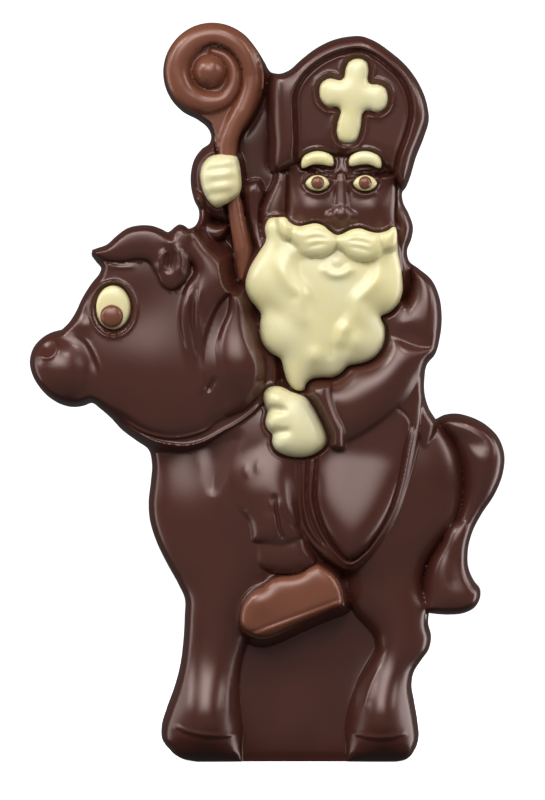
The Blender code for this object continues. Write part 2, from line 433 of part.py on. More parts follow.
def shoe_heights(spots):
    relief = Relief(spots, 0, SHOE)
    relief.pad(SHOE, 22.0, 25.0, 5)
    return relief.height


def cross_heights(spots):
    relief = Relief(spots, 0, CROSS)
    relief.pad(CROSS, 22.8, 25.0, 3)
    return relief.height


def crook_spiral():
    """Middle line of the crook's tube: it winds in from the neck to the ball, with its radii."""
    turn = np.radians([-68, -44, -18, 13, 48, 84, 122, 157, 187, 218, 255, 297, 316, 342, 373, 408, 444])
    reach = [16.4, 13.1, 11.5, 10.5, 10.0, 9.8, 9.5, 9.2, 9.0, 8.9, 8.5, 8.1, 7.5, 6.7, 6.1, 5.7, 5.6]
    radii = [2.2, 2.9, 2.7, 2.6, 2.95, 3.2, 3.3, 3.4, 3.45, 3.4, 3.5, 3.3, 2.8, 2.1, 1.8, 1.4, 1.0]
    centre = (-15.2, 186.2)
    path = [(centre[0] + r * math.cos(t), centre[1] + r * math.sin(t)) for r, t in zip(reach, turn)]
    return [(-10.6, 166.0), (-9.6, 169.4)] + path, [1.9, 2.1] + radii


def crook_heights(spots):
    relief = Relief(spots, 16.5, CROOK_INLAY)
    path, radii = crook_spiral()
    relief.tube(path, 17.6, radii)
    relief.ball((-15.5, 186.3), 4.4, 18.0)
    return relief.height


def staff_heights(spots):
    relief = Relief(spots, 15.0, STAFF)
    relief.tube([(-9.0, 152.0), (-8.0, 145.0), (-6.6, 138.0), (-6.6, 130.0)], 16.6, (2.1, 2.4, 2.6, 1.2))
    return relief.height


def eye_heights(outline, edge):
    def heights(spots):
        relief = Relief(spots, 0, outline)
        relief.pad(outline, edge, edge + 1.4, 3)
        return relief.height
    return heights


def patch(cell, outline, inset=0.0):
    """A flat grid inside an outline, its rim pulled onto the outline inset by some distance."""
    loop = curve(outline)
    low = loop.min(0) - cell
    high = loop.max(0) + cell
    across, up = np.ceil((high - low) / cell).astype(int)
    grid = bmesh.new()
    bmesh.ops.create_grid(grid, x_segments=across, y_segments=up, size=0.5)
    for vert in grid.verts:
        vert.co.x = low[0] + (vert.co.x + 0.5) * across * cell
        vert.co.y = low[1] + (vert.co.y + 0.5) * up * cell
    centres = np.array([face.calc_center_median()[:2] for face in grid.faces])
    depth = np.concatenate([depth_in(part, loop)[0] for part in np.array_split(centres, 8)])
    outside = [face for face, deep in zip(grid.faces, depth) if deep < inset + 0.1 * cell]
    while outside:
        bmesh.ops.delete(grid, geom=outside, context='FACES')
        outside = [face for face in grid.faces if sum(edge.is_boundary for edge in face.edges) > 2]
    rim = [vert for vert in grid.verts if vert.is_boundary]
    spots = np.array([vert.co[:2] for vert in rim])
    foot, _ = nearest_on(spots, loop)
    depth, _ = depth_in(spots, loop)
    inward = (spots - foot) * np.sign(depth)[:, None]
    inward /= np.maximum(np.hypot(*inward.T), 1e-6)[:, None]
    lean = inset * eased(foot[:, 1] / TOE)
    for vert, place, way, in_by in zip(rim, foot, inward, lean):
        vert.co.x, vert.co.y = place + way * in_by
    bmesh.ops.remove_doubles(grid, verts=rim, dist=0.2 * cell)
    bmesh.ops.dissolve_degenerate(grid, edges=grid.edges, dist=0.02 * cell)
    return grid, loop


def stand_up(vert, height):
    """Turns a flat vertex upright and sets its height above the back, in metres."""
    across, up = vert.co[:2]
    vert.co = (across * 0.001, (BACK - height) * 0.001, up * 0.001)


def solid(name, outline, cell, heights_of, floor, inset=0.0):
    """A closed solid: a relief front, a side wall down to a flat floor, and the floor itself."""
    grid, loop = patch(cell, outline, inset)
    front = list(grid.verts)
    spots = np.array([vert.co[:2] for vert in front])
    heights = np.concatenate([heights_of(part) for part in np.array_split(spots, 1 + len(spots) // 4000)])
    rim = [edge for edge in grid.edges if edge.is_boundary]
    made = bmesh.ops.extrude_edge_only(grid, edges=rim)["geom"]
    skirt = [item for item in made if isinstance(item, bmesh.types.BMVert)]
    foot, _ = nearest_on(np.array([vert.co[:2] for vert in skirt]), loop)
    for vert, height in zip(front, heights):
        stand_up(vert, height)
    for vert, place in zip(skirt, foot):
        vert.co.x, vert.co.y = place
        stand_up(vert, floor)
    if inset:
        bmesh.ops.remove_doubles(grid, verts=skirt, dist=0.00005)
    edges = [edge for edge in grid.edges if edge.is_boundary]
    bmesh.ops.holes_fill(grid, edges=edges, sides=0)
    bmesh.ops.triangulate(grid, faces=grid.faces)
    face_outwards(grid)
    return finish(name, grid, parts)


def face_outwards(shape):
    bmesh.ops.recalc_face_normals(shape, faces=shape.faces)
    if shape.calc_volume(signed=True) < 0:
        bmesh.ops.reverse_faces(shape, faces=shape.faces)


def finish(name, grid, collection):
    mesh = bpy.data.meshes.new(name)
    grid.to_mesh(mesh)
    grid.free()
    piece = bpy.data.objects.new(name, mesh)
    collection.objects.link(piece)
    return piece


def cutter(name, outline, floor):
    """A prism over an inlay's outline, grown by the join gap, that cuts its pocket."""
    loop = curve(outline)
    way = np.roll(loop, -1, 0) - np.roll(loop, 1, 0)
    way /= np.hypot(*way.T)[:, None]
    aside = np.stack([way[:, 1], -way[:, 0]], 1)
    if depth_in(loop[:1] + aside[:1] * 0.1, loop)[0][0] > 0:
        aside = -aside
    loop = loop + aside * JOIN_GAP
    prism = bmesh.new()
    ring = [prism.verts.new((x * 0.001, (BACK - floor) * 0.001, z * 0.001)) for x, z in loop]
    face = prism.faces.new(ring)
    made = bmesh.ops.extrude_face_region(prism, geom=[face])["geom"]
    front = [item for item in made if isinstance(item, bmesh.types.BMVert)]
    bmesh.ops.translate(prism, verts=front, vec=(0, -CUT_DEPTH * 0.001, 0))
    face_outwards(prism)
    piece = finish(name, prism, cutters)
    piece.hide_render = True
    piece.display_type = 'WIRE'
    return piece


def cut(piece, tool):
    boolean = piece.modifiers.new(tool.name, 'BOOLEAN')
    boolean.operation = 'DIFFERENCE'
    boolean.solver = 'EXACT'
    boolean.object = tool


def chocolate(name, colour, roughness):
    """Moulded chocolate: a coloured, satin surface with no metal."""
    material = bpy.data.materials.new(name)
    material.use_nodes = True
    shader = material.node_tree.nodes["Principled BSDF"]
    shader.inputs["Base Color"].default_value = (*colour, 1)
    shader.inputs["Roughness"].default_value = roughness
    shader.inputs["Metallic"].default_value = 0.0
    return material


# Each inlay has its outline, the level of the dark seat round it, its relief and its chocolate.
# It stands on a floor a little below the seat.
INLAYS = {
    "crook": {"outline": CROOK_INLAY, "seat": 15.5, "heights": crook_heights, "kind": "milk", "cell": 1.5},
    "staff": {"outline": STAFF, "seat": 14.5, "heights": staff_heights, "kind": "milk", "cell": 1.5},
    "staff_glove": {"outline": STAFF_GLOVE, "seat": 18.0, "heights": staff_glove_heights, "kind": "white",
                    "cell": 1.5},
    "rein_glove": {"outline": REIN_GLOVE, "seat": 21.5, "heights": rein_glove_heights, "kind": "white",
                   "cell": 1.7},
    "beard": {"outline": BEARD, "seat": 20.5, "heights": beard_heights, "kind": "white", "cell": 1.8},
    "cross": {"outline": CROSS, "seat": 22.4, "heights": cross_heights, "kind": "white", "cell": 1.1},
    "shoe": {"outline": SHOE, "seat": 21.0, "heights": shoe_heights, "kind": "milk", "cell": 1.8},
}


def add_eye(side, centre, across, up, pupil, pupil_radius, level):
    white = ellipse(centre, across, up)
    dark = ellipse(pupil, pupil_radius, pupil_radius, 12)
    INLAYS[side + "eye"] = {"outline": white, "seat": level - 0.8, "heights": eye_heights(white, level),
                            "kind": "white", "cell": 1.0}
    INLAYS[side + "pupil"] = {"outline": dark, "seat": level - 0.2, "heights": eye_heights(dark, level + 1.3),
                              "kind": "milk", "cell": 0.7, "host": side + "eye"}


def add_brow(side, sign):
    inner, middle, outer = 1.9, 6.0, 10.2
    rise = [(inner, 0.2), (middle, 1.0), (outer, -1.6)]
    above = [(FACE_AXIS + sign * x, BROW_LINE + z + 1.7) for x, z in rise]
    below = [(FACE_AXIS + sign * x, BROW_LINE + z - 1.7) for x, z in reversed(rise)]
    outline = above + below
    INLAYS[side + "brow"] = {"outline": outline, "seat": 21.8, "heights": eye_heights(outline, 22.6),
                             "kind": "white", "cell": 1.0}


for side, sign in (("left_", -1), ("right_", 1)):
    eye = (FACE_AXIS + sign * EYE_WIDTH, EYE_LINE)
    add_eye(side, eye, EYE_WIDTH / 2, EYE_HEIGHT / 2, eye, PUPIL, 22.4)
    add_brow(side, sign)
add_eye("horse_", HORSE_EYE, 4.6, 5.9, HORSE_PUPIL, 3.1, 25.2)

for stray in list(bpy.data.objects):
    bpy.data.objects.remove(stray)
parts = bpy.data.collections.new("chocolate_figure")
cutters = bpy.data.collections.new("pockets")
bpy.context.scene.collection.children.link(parts)
bpy.context.scene.collection.children.link(cutters)
finishes = {"dark": chocolate("dark_chocolate", (0.061, 0.018, 0.014), 0.32),
            "milk": chocolate("milk_chocolate", (0.195, 0.071, 0.038), 0.36),
            "white": chocolate("white_chocolate", (0.76, 0.70, 0.45), 0.34)}

body = solid("body", SILHOUETTE, BODY_CELL, body_heights, 0.0, DRAFT)
body.data.materials.append(finishes["dark"])
thin = body.modifiers.new("thin", 'DECIMATE')
thin.ratio = BODY_TRIANGLES / len(body.data.polygons)
made = {"body": body}
for name, inlay in INLAYS.items():
    floor = inlay["seat"] - SEAT_DEPTH.get(name, 2.5)
    piece = solid(name, inlay["outline"], inlay["cell"], inlay["heights"], floor + JOIN_GAP)
    piece.data.materials.append(finishes[inlay["kind"]])
    cut(made[inlay.get("host", "body")], cutter(name + "_pocket", inlay["outline"], floor))
    made[name] = piece
for piece in made.values():
    piece.data.shade_smooth()
    piece.data.set_sharp_from_angle(angle=math.radians(50))
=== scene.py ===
# Looks of a moulded chocolate figure: a bearded rider with a mitre and a crozier on a small horse.
# One dark casting carries milk and white chocolate inlays. Shapes are heights in millimetres above
# its flat back; the front looks along -Y, +X is to the right and +Z is up.
import math

import bmesh
import bpy
import numpy as np
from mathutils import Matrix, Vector


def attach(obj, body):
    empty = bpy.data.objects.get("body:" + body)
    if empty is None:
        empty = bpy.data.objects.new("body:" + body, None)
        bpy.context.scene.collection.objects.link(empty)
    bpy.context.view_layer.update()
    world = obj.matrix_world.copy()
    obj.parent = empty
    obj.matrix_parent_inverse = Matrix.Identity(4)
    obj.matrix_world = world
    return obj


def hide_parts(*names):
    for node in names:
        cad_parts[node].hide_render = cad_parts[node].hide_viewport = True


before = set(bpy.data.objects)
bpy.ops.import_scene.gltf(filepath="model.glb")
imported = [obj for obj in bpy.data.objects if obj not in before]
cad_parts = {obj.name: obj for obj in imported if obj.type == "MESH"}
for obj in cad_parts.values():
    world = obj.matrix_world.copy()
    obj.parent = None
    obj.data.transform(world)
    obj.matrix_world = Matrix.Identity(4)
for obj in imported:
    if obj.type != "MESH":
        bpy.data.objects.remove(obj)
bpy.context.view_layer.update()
print("frame loaded")

corner = 1  # third value of an outline point that stays sharp
casting = {
    "back": 14.75,  # the flat back lies this far behind the origin
    "draft": 0.4,  # the grid stops this far inside the side wall
    "shoulder": 2.6,  # the side wall rolls over into the front within this distance
    "squareness": 3.0,  # how square that roll is
    "plate": 12.5,  # plain plate between the legs and behind the crozier
    "toe": 3.0,  # the draft fades out over this height, so that the foot is flat
    "toeDrop": 0.05,  # share of the height that the front loses at the very foot
    "cell": 1.0,  # grid of the body before the busy places are refined
    "refinements": 2,
    "tolerance": 0.026,  # an edge that misses the relief by more than this is split
}
seam = {
    "inlayCell": 0.6,  # grid of an inlay that names none of its own
    "root": 2.2,  # an inlay starts this far below its seat
    "pupilRoot": 0.6,
    "bed": 0.3,  # the ground under an inlay rises by this, so that no inlay floats
    "moat": (0.4, 0.1, 0.35),  # width, depth and lip of the trench round an inlay
    "ledge": 0.45,  # the ground keeps level with the seat this far outside an inlay
    "bankSlope": 3.2,
    "pit": 1.6,  # and sinks this far below it underneath
}


def arc(centre, radius, start, end, count):
    turn = np.radians(np.linspace(start, end, count))
    return [(centre[0] + radius * math.cos(t), centre[1] + radius * math.sin(t)) for t in turn]


def ellipse(centre, across, up, count=28):
    turn = np.linspace(0, 2 * math.pi, count, endpoint=False)
    return [(centre[0] + across * math.cos(t), centre[1] + up * math.sin(t)) for t in turn]


def curve(points, closed=True, step=1.5):  # a smooth curve through the points, sharp where marked
    spots = np.array([point[:2] for point in points], float)
    sharp = np.array([len(point) > 2 for point in points])
    run = np.roll(spots, -1, 0) - spots
    length = np.maximum(np.hypot(*run.T), 1e-9)
    ahead = run / length[:, None]
    behind = np.roll(ahead, 1, 0)
    before = np.roll(length, 1)
    middle = (ahead * before[:, None] + behind * length[:, None]) / (length + before)[:, None]
    leave = np.where(sharp[:, None], ahead, middle)
    arrive = np.where(sharp[:, None], behind, middle)
    if not closed:
        leave[0] = ahead[0]
        arrive[-1] = ahead[-2]
    pieces = []
    for i in range(len(spots) if closed else len(spots) - 1):
        j = (i + 1) % len(spots)
        t = np.linspace(0, 1, max(2, math.ceil(length[i] / step) + 1))[:-1, None]
        pieces.append((2 * t**3 - 3 * t**2 + 1) * spots[i] + (t**3 - 2 * t**2 + t) * length[i] * leave[i]
                      + (3 * t**2 - 2 * t**3) * spots[j] + (t**3 - t**2) * length[i] * arrive[j])
    if not closed:
        pieces.append(spots[-1:])
    return np.concatenate(pieces)


def sidesOf(loop, closed=True):
    start = loop if closed else loop[:-1]
    end = np.roll(loop, -1, 0) if closed else loop[1:]
    length = np.hypot(*(end - start).T)
    kept = length > 1e-6
    return start[kept], end[kept], (end - start)[kept] / length[kept, None], length[kept]


def inParts(work):  # runs a function of spots a few thousand at a time, to spare memory
    def run(spots, *rest, **named):
        parts = np.array_split(spots, 1 + len(spots) // 6000)
        found = [work(part, *rest, **named) for part in parts]
        return tuple(np.concatenate(column) for column in zip(*found))
    return run


@inParts
def nearestOn(spots, loop, closed=True):  # nearest point of a curve, and how far along it that is, 0 to 1
    start, _, along, length = sidesOf(loop, closed)
    offset = spots[:, None, :] - start[None]
    run = np.clip((offset * along).sum(2), 0, length)
    gap = (offset[..., 0] - run * along[:, 0])**2 + (offset[..., 1] - run * along[:, 1])**2
    best = gap.argmin(1)
    row = np.arange(len(spots))
    travelled = np.concatenate([[0], np.cumsum(length)[:-1]])
    foot = start[best] + run[row, best, None] * along[best]
    return foot, (travelled[best] + run[row, best]) / length.sum()


# How deep each spot lies inside a closed curve, and the pull of the curve's sides on it. The pull is
# the integral of 1/r^3 along the curve: turned back into a distance it has no creases.
@inParts
def depthIn(spots, loop):
    start, end, along, length = sidesOf(loop)
    offset = spots[:, None, :] - start[None]
    run = (offset * along).sum(2)
    aside = (offset[..., 0] * along[:, 1] - offset[..., 1] * along[:, 0])**2
    gap = np.sqrt((aside + (run - np.clip(run, 0, length))**2).min(1))
    soft = aside + 1e-3
    rest = length - run
    pull = ((rest / np.sqrt(soft + rest * rest) + run / np.sqrt(soft + run * run)) / soft).sum(1)
    height = spots[:, 1:2]
    spans = (start[:, 1] > height) != (end[:, 1] > height)
    rise = np.where(np.abs(end[:, 1] - start[:, 1]) < 1e-12, 1e-12, end[:, 1] - start[:, 1])
    crossing = start[:, 0] + (height - start[:, 1]) * (end[:, 0] - start[:, 0]) / rise
    inside = (spans & (spots[:, 0:1] < crossing)).sum(1) % 2 == 1
    return np.where(inside, gap, -gap), pull


def higher(one, other, blend):
    share = np.clip(0.5 + 0.5 * (one - other) / blend, 0, 1)
    return other + (one - other) * share + blend * share * (1 - share)


def lowest(one, other, blend):
    return -higher(-one, -other, blend)


def dome(reach, power=2.0):
    reach = np.clip(reach, 0, 1)
    return (1 - (1 - reach)**power)**(1 / power)


def eased(t):
    t = np.clip(t, 0, 1)
    return t * t * (3 - 2 * t)


class Relief:  # heights above the flat back at a set of spots, built up form by form
    def __init__(self, spots, ground, outline):
        self.spots = spots
        self.height = np.full(len(spots), float(ground))
        self.pull = depthIn(spots, curve(outline))[1]

    def inside(self, outline):  # how surely each spot lies inside a form, 0 to 1
        depth, _ = depthIn(self.spots, curve(outline))
        return eased(depth / 3)

    def near(self, loop, margin):
        low = loop.min(0) - margin
        high = loop.max(0) + margin
        return np.nonzero(((self.spots > low) & (self.spots < high)).all(1))[0]

    # A rounded form rises from edge to crown over the roll, and falls away steeply outside
    def pad(self, outline, edge, crown, roll, fall=4.0, power=2.0, blend=0.8, tilt=(0, 0), slant=(0, 0),
            about=(0, 0)):
        loop = curve(outline)
        here = self.near(loop, 5.0)
        if len(here) == 0:
            return
        depth, pull = depthIn(self.spots[here], loop)
        soft = np.sqrt(2 / (pull + self.pull[here]))
        lean = (self.spots[here] - about) @ np.array(tilt, float)
        peak = crown + (self.spots[here] - about) @ np.array(slant, float)
        top = edge + lean + (peak - edge) * dome(soft / roll, power)
        form = np.where(depth > 0, top, edge + lean + fall * depth)
        self.height[here] = higher(self.height[here], form, blend)

    def ball(self, centre, radius, level, blend=0.8, fall=3.0):
        gap = np.hypot(*(self.spots - centre).T)
        cap = level + np.sqrt(np.maximum(radius**2 - gap**2, 0)) - fall * np.maximum(gap - radius, 0)
        self.height = higher(self.height, cap, blend)

    def lower(self, outline, amount, soft=0.8):  # sinks what lies inside, with a soft step at the edge
        loop = curve(outline)
        here = self.near(loop, 3.0)
        depth, _ = depthIn(self.spots[here], loop)
        self.height[here] -= amount * eased(depth / soft + 0.5)

    def line(self, points, amount, width, fade=0.15):  # a ridge, or with a negative amount a crease
        path = curve(points, closed=False)
        here = self.near(path, 3 * width)
        if len(here) == 0:
            return
        foot, share = nearestOn(self.spots[here], path, closed=False)
        gap = np.hypot(*(self.spots[here] - foot).T)
        strength = eased(np.minimum(share, 1 - share) / fade)
        self.height[here] += amount * strength * np.exp(-(gap / width)**2)

    def tube(self, points, level, radii, blend=0.4, fall=3.0):  # a round rod, its radii spread along it
        path = curve(points, closed=False, step=0.8)
        here = self.near(path, max(radii) + 3)
        if len(here) == 0:
            return
        foot, share = nearestOn(self.spots[here], path, closed=False)
        gap = np.hypot(*(self.spots[here] - foot).T)
        radius = np.interp(share, np.linspace(0, 1, len(radii)), radii)
        rod = level + np.sqrt(np.maximum(radius**2 - gap**2, 0)) - fall * np.maximum(gap - radius, 0)
        self.height[here] = higher(self.height[here], rod, blend)

    def bump(self, centre, radius, amount, stretch=1.0, only=1.0):
        offset = (self.spots - centre) / (radius, radius * stretch)
        self.height += amount * only * np.exp(-(offset**2).sum(1))

    def ring(self, outline, amount, width, inset=0.0):  # a fine ridge or groove along a closed curve
        loop = curve(outline)
        here = self.near(loop, abs(inset) + 3 * width)
        if len(here) == 0:
            return
        depth, _ = depthIn(self.spots[here], loop)
        self.height[here] += amount * np.exp(-((depth - inset) / width)**2)

    # A shallow trench round an inlay, with a fine lip outside it
    def moat(self, outline, width, sink, lip, lipWidth=0.4):
        loop = curve(outline)
        here = self.near(loop, width + 3)
        if len(here) == 0:
            return
        away = -depthIn(self.spots[here], loop)[0]
        self.height[here] -= sink * eased((width - away) / 0.7 + 0.5)
        self.height[here] += lip * np.exp(-((away - width - seam["ledge"]) / lipWidth)**2)

    # The dark chocolate keeps to the seat's level round an inlay and dips out of sight under it
    def seat(self, outline, level):
        loop = curve(outline)
        here = self.near(loop, 4.0)
        if len(here) == 0:
            return
        depth, _ = depthIn(self.spots[here], loop)
        bank = level + seam["bankSlope"] * np.maximum(-depth - seam["ledge"], 0)
        sunk = lowest(self.height[here], bank, 0.6)
        self.height[here] = sunk - (sunk - level + seam["pit"]) * eased((depth - 0.35) / 0.5)


edgeShape = {
    "snout": [(-47.6, 96.9), (-49.6, 96.2), (-52.5, 95.8), (-55.3, 96.3), (-58.6, 98), (-61.6, 100.9),
        (-63.7, 104.6), (-64.4, 108), (-63.4, 112), (-61.2, 114.6), (-58.4, 116.2),
        (-55.8, 116.9, corner)],
    "brow": [(-53.9, 118.7), (-52.2, 121.2), (-50.2, 125.4), (-47.4, 129.8), (-45.6, 132),
        (-45.1, 133.4)],
    "forelock": [(-46.4, 135.2), (-48.6, 138.1, corner), (-45.8, 139.1), (-43.5, 139.9), (-40.9, 142.2),
        (-37.8, 144.4), (-34.6, 145.2), (-31.2, 145.1), (-28.6, 144.2), (-26.8, 143.4), (-25.2, 144.6),
        (-23.6, 145.5), (-22.2, 145), (-21.2, 144.3), (-19.9, 144.8)],
    "raisedArm": [(-18.6, 147), (-18.5, 149), (-19.8, 152), (-20.7, 156), (-20.7, 159.5), (-19.6, 163.5),
        (-17.6, 166.1), (-15.6, 167.6), (-15.2, 169.3), (-16.1, 171.6), (-18.6, 173.7)],
    "saddle": [(-2.4, 192.5), (-0.6, 189.5), (0.9, 187), (3, 186.2), (5.4, 186.9)],
    "mitre": [(8.8, 189.8), (13, 193), (18, 195.4), (22.4, 196.3), (25.2, 196.4), (28.4, 195.4),
        (33.5, 192.1), (38, 188.1), (41.6, 182.9), (43.6, 177.6), (44, 174), (42.6, 169), (40.4, 163.4),
        (38.8, 158), (37.7, 155.4), (36.8, 154.2)],
    "hair": [(36.9, 151.9), (38.6, 148.2), (39.7, 144.6), (39.2, 141.4), (38.1, 138.4), (38.6, 135.6)],
    "shoulder": [(41.2, 133.5), (44.6, 130.6), (46.7, 126.2), (47.5, 120.6), (47, 114.8), (45.6, 110),
        (43.5, 107.4), (42.8, 103.6), (42.9, 99.2), (44.1, 95.3), (45.8, 92.6, corner)],
    "tail": [(48.4, 93.8), (51.2, 94.1), (55, 93.3), (59.4, 91.1), (62.8, 87.7), (64.5, 83), (64.1, 77.8),
        (61.8, 72), (58.3, 66.7), (55.8, 61.8), (54.6, 56.8), (54.8, 52), (56.3, 48.6), (57.9, 46.4),
        (57.9, 44), (56.2, 41.2), (53.4, 39.8), (50, 39.4), (46.6, 39.5), (44, 39.8, corner)],
    "hindLeg": [(43.8, 37.2), (44.6, 33.6), (44, 30.1), (41.9, 27), (39.9, 23.8), (39.3, 20.4),
        (39.9, 16.4), (40.9, 10.4), (41.2, 6), (40.2, 2.8), (37.6, 0.6), (35, 0, corner)],
    "frontLeg": [(-19, 0, corner), (-23, 0.8), (-26.4, 2.7), (-28.5, 5.6), (-28.7, 8.8), (-27.3, 14),
        (-25.2, 19.8), (-23.7, 25.4), (-22.8, 32), (-22.4, 39), (-22.4, 43.9), (-24, 47.5), (-27.2, 53.3),
        (-30.2, 59.6), (-31.9, 65.4), (-32.2, 70), (-31.6, 75.6), (-31.3, 80.4), (-32.2, 84.2),
        (-35.4, 86.6), (-39.4, 89.6), (-42.6, 93), (-45.4, 95.4)],
}
horseShape = {
    "body": [(-7.5, -6), (-6.8, 4), (-6.7, 9), (-7.3, 15), (-7.6, 21), (-6.9, 27), (-5.4, 32), (-3, 38),
        (4, 46), (14, 51), (20.4, 51.5), (20.7, 47.5), (21.8, 43.8), (24.2, 39.4), (27.3, 36.2),
        (29.2, 33.2), (29.3, 30.6), (27.6, 27.4), (25, 22.6), (23, 18), (21.8, 13.6), (21.2, 9),
        (21.5, 3), (22, -6), (52, -6), (52, 30), (45, 41), (42.2, 47), (43, 53), (46.6, 58.6),
        (51.2, 64.5), (53.2, 72), (52.9, 79), (51.4, 84.4), (47.5, 90.5), (42, 96), (30, 104), (0, 106),
        (-36, 98), (-38, 60), (-30, 30), (-36, 6), (-30, -6)],
    "tailRoot": [(44, 95.5), (47, 90.2), (50.6, 85.6), (52.4, 80), (52.8, 72.6), (50.6, 64.8),
        (46.2, 58.6), (43, 52.8), (42, 47), (42.6, 41), (43.6, 36), (60, 34), (64, 48), (60, 58),
        (70, 74), (70, 96), (54, 100)],
    "tailTip": [(49.6, 64), (46.6, 58.2), (44, 54), (42.9, 49), (42.8, 44), (43.5, 36), (60, 34),
        (64, 46), (55, 52), (56, 60), (54, 66)],
}
chestWedge = [(-17.2, 86), (-16.3, 80.4), (-14.5, 73.4), (-11.9, 78), (-9.4, 83), (-8, 88)]
horseLegShape = {
    "frontHoofLine": [(-26.4, 10.6), (-25.3, 10.2), (-22, 8.8), (-18, 7.8), (-14, 7.4), (-9.5, 7.6),
        (-8, 8)],
    "hindHoofLine": [(22.4, 8.4), (27, 7.1), (31, 6.8), (35, 7.3), (38.6, 8.6)],
}
horseHeadShape = {
    "neck": [(-44, 94.6), (-39, 91), (-35, 88.3), (-30, 85.9), (-25, 84.9), (-21.5, 84.8), (-17, 85.9),
        (-12, 88.6), (-7, 91.4), (-3.4, 94.2), (-0.6, 97.4), (2, 101), (2.6, 106), (0.6, 112),
        (-2.6, 116.6), (-5.4, 121), (-6.8, 126.4), (-8.8, 131), (-11.8, 135.8), (-15.6, 139.8),
        (-19, 142.6), (-18, 150), (-50, 150), (-70, 120), (-70, 96), (-56, 90)],
    "cheek": [(-46.4, 95.8), (-43, 94.2), (-39, 92.2), (-35, 89.5), (-30, 87.6), (-25, 87), (-20, 87.8),
        (-16, 89.4), (-13.8, 91.2), (-11, 92.6), (-7.6, 94), (-3.4, 97.2), (-0.9, 101.4), (-0.3, 106),
        (-1.4, 111), (-3.6, 115), (-5.6, 120.2), (-7.2, 126), (-9.2, 130.6), (-12.4, 135.4),
        (-15.6, 138.6), (-19.6, 142), (-18, 150), (-50, 150), (-70, 120), (-70, 96), (-56, 92)],
    "frontLock": [(-19.6, 132.6), (-21.8, 128.6), (-23.8, 123.8), (-24.3, 118.6), (-23.2, 113.2),
        (-21, 107.6), (-19.4, 102.6), (-18.2, 98.6), (-16.4, 100.0), (-15.4, 102.6), (-15.7, 106.6),
        (-16.1, 112), (-15.0, 118), (-12.4, 123.6), (-9.0, 128), (-9.4, 131), (-12.4, 135.4),
        (-15.6, 138.6), (-19, 143), (-24, 147), (-23.4, 138)],
    "mane": [(-24.6, 147), (-20.6, 137), (-19.6, 131), (-18.2, 124), (-15.6, 116), (-14.6, 109.6),
        (-12.6, 104.4), (-10.2, 99.4), (-8.2, 95.4), (-7.6, 94.4), (-3.4, 97.2), (-0.9, 101.4),
        (-0.3, 106), (-1.4, 111), (-3.6, 115), (-5.6, 120.2), (-7.2, 126), (-9.2, 130.6), (-12.4, 135.4),
        (-15.6, 138.6), (-19.6, 142), (-19.6, 147)],
    "fringe": [(-49.4, 138.6), (-46.2, 136.3), (-42.4, 135.1), (-38.4, 134.7), (-34.6, 135.2),
        (-32, 134.8), (-30, 131.6), (-28.2, 128.2), (-25.6, 127), (-22.8, 128.4), (-20.8, 131.6),
        (-20.4, 136), (-19.6, 141), (-19, 148), (-50, 150)],
    "sideLock": [(-8.8, 127), (-10.4, 121.4), (-12.6, 116.6), (-13.9, 112.6), (-14.1, 108), (-13.6, 104),
        (-12.6, 98.6), (-11.4, 93.4), (-7.6, 94.3), (-3.4, 97.4), (-0.9, 101.6), (-0.4, 106),
        (-1.4, 110.8), (-3.6, 114.8), (-5.6, 120), (-7.0, 124.8)],
}
riderHeadShape = {
    "hood": [(-7.4, 168.5), (-7.6, 164), (-7, 159), (-5.9, 154), (-5.4, 148), (-4.4, 141), (-2, 137),
        (4.5, 138), (8, 150), (8, 162), (1.6, 160), (1.2, 170), (0.8, 183), (-0.6, 179.6), (-2.4, 175),
        (-5.2, 170.8)],
    "raisedSleeve": [(-24, 150), (-22, 160), (-18, 168), (-16.8, 172), (-10, 171), (-7.6, 166.4),
        (-7.3, 162), (-6.7, 158), (-6, 154), (-5.6, 149), (-9, 146), (-16, 147)],
    "cuffRoll": [(-21.6, 146), (-18.6, 147.4), (-15.6, 145.9), (-13.2, 144.9), (-10.8, 144.8),
        (-11.2, 142.8), (-12.8, 141.2), (-14.8, 140.8), (-17.4, 142), (-19.6, 143.4), (-22, 143.8)],
    "collar": [(-6.4, 155.6), (-4.4, 157.2), (-2.2, 157.4), (-0.9, 155.2), (-0.5, 153.4), (-1.4, 150.2),
        (-1.7, 146.8), (-1, 143), (0.6, 139), (-2, 134), (-4, 133), (-5, 137), (-5.4, 142), (-5.8, 150)],
    "leftHair": [(2.6, 160), (1.8, 157), (-0.2, 153), (-1.7, 149.6), (-1.9, 146.2), (-1.2, 142.8),
        (0.4, 139.8), (5, 138), (6, 150), (6.2, 161.2)],
    "rightHair": [(34.9, 158), (34.7, 152), (34.4, 147), (34.8, 143), (35.4, 138), (36, 134),
        (38.8, 133.4), (42, 136), (44, 146), (40, 156)],
    "lowHair": [(34.4, 141), (36.4, 138.4), (40, 136), (39.3, 132), (39.1, 129), (38, 125.6), (36, 122.8),
        (33.2, 120.5), (31, 122), (33, 130)],
    "face": [(6, 163), (5.7, 155), (5.6, 149), (5.6, 140), (20, 132), (34.6, 138), (34.6, 148),
        (34.6, 155), (35, 163), (20, 168)],
    "mitreRim": [(2.6, 159.4), (6.8, 160.6), (20, 163), (33.6, 158.8), (37.8, 153.4), (48, 158),
        (50, 180), (26, 202), (10, 196), (2.4, 187.4), (1.2, 183), (1, 176), (1.4, 168)],
    "mitreField": [(7.6, 161.6), (7.3, 168), (7, 175), (7, 179.6), (8.6, 183.6), (12.2, 187.6),
        (16.6, 190.4), (21.4, 192), (25, 192.3), (28.6, 191), (33, 187.8), (36.6, 184.2), (38.8, 179.4),
        (39.3, 174.6), (38.2, 169.6), (36, 163.4), (34.4, 158.6), (30, 158), (12, 159)],
}
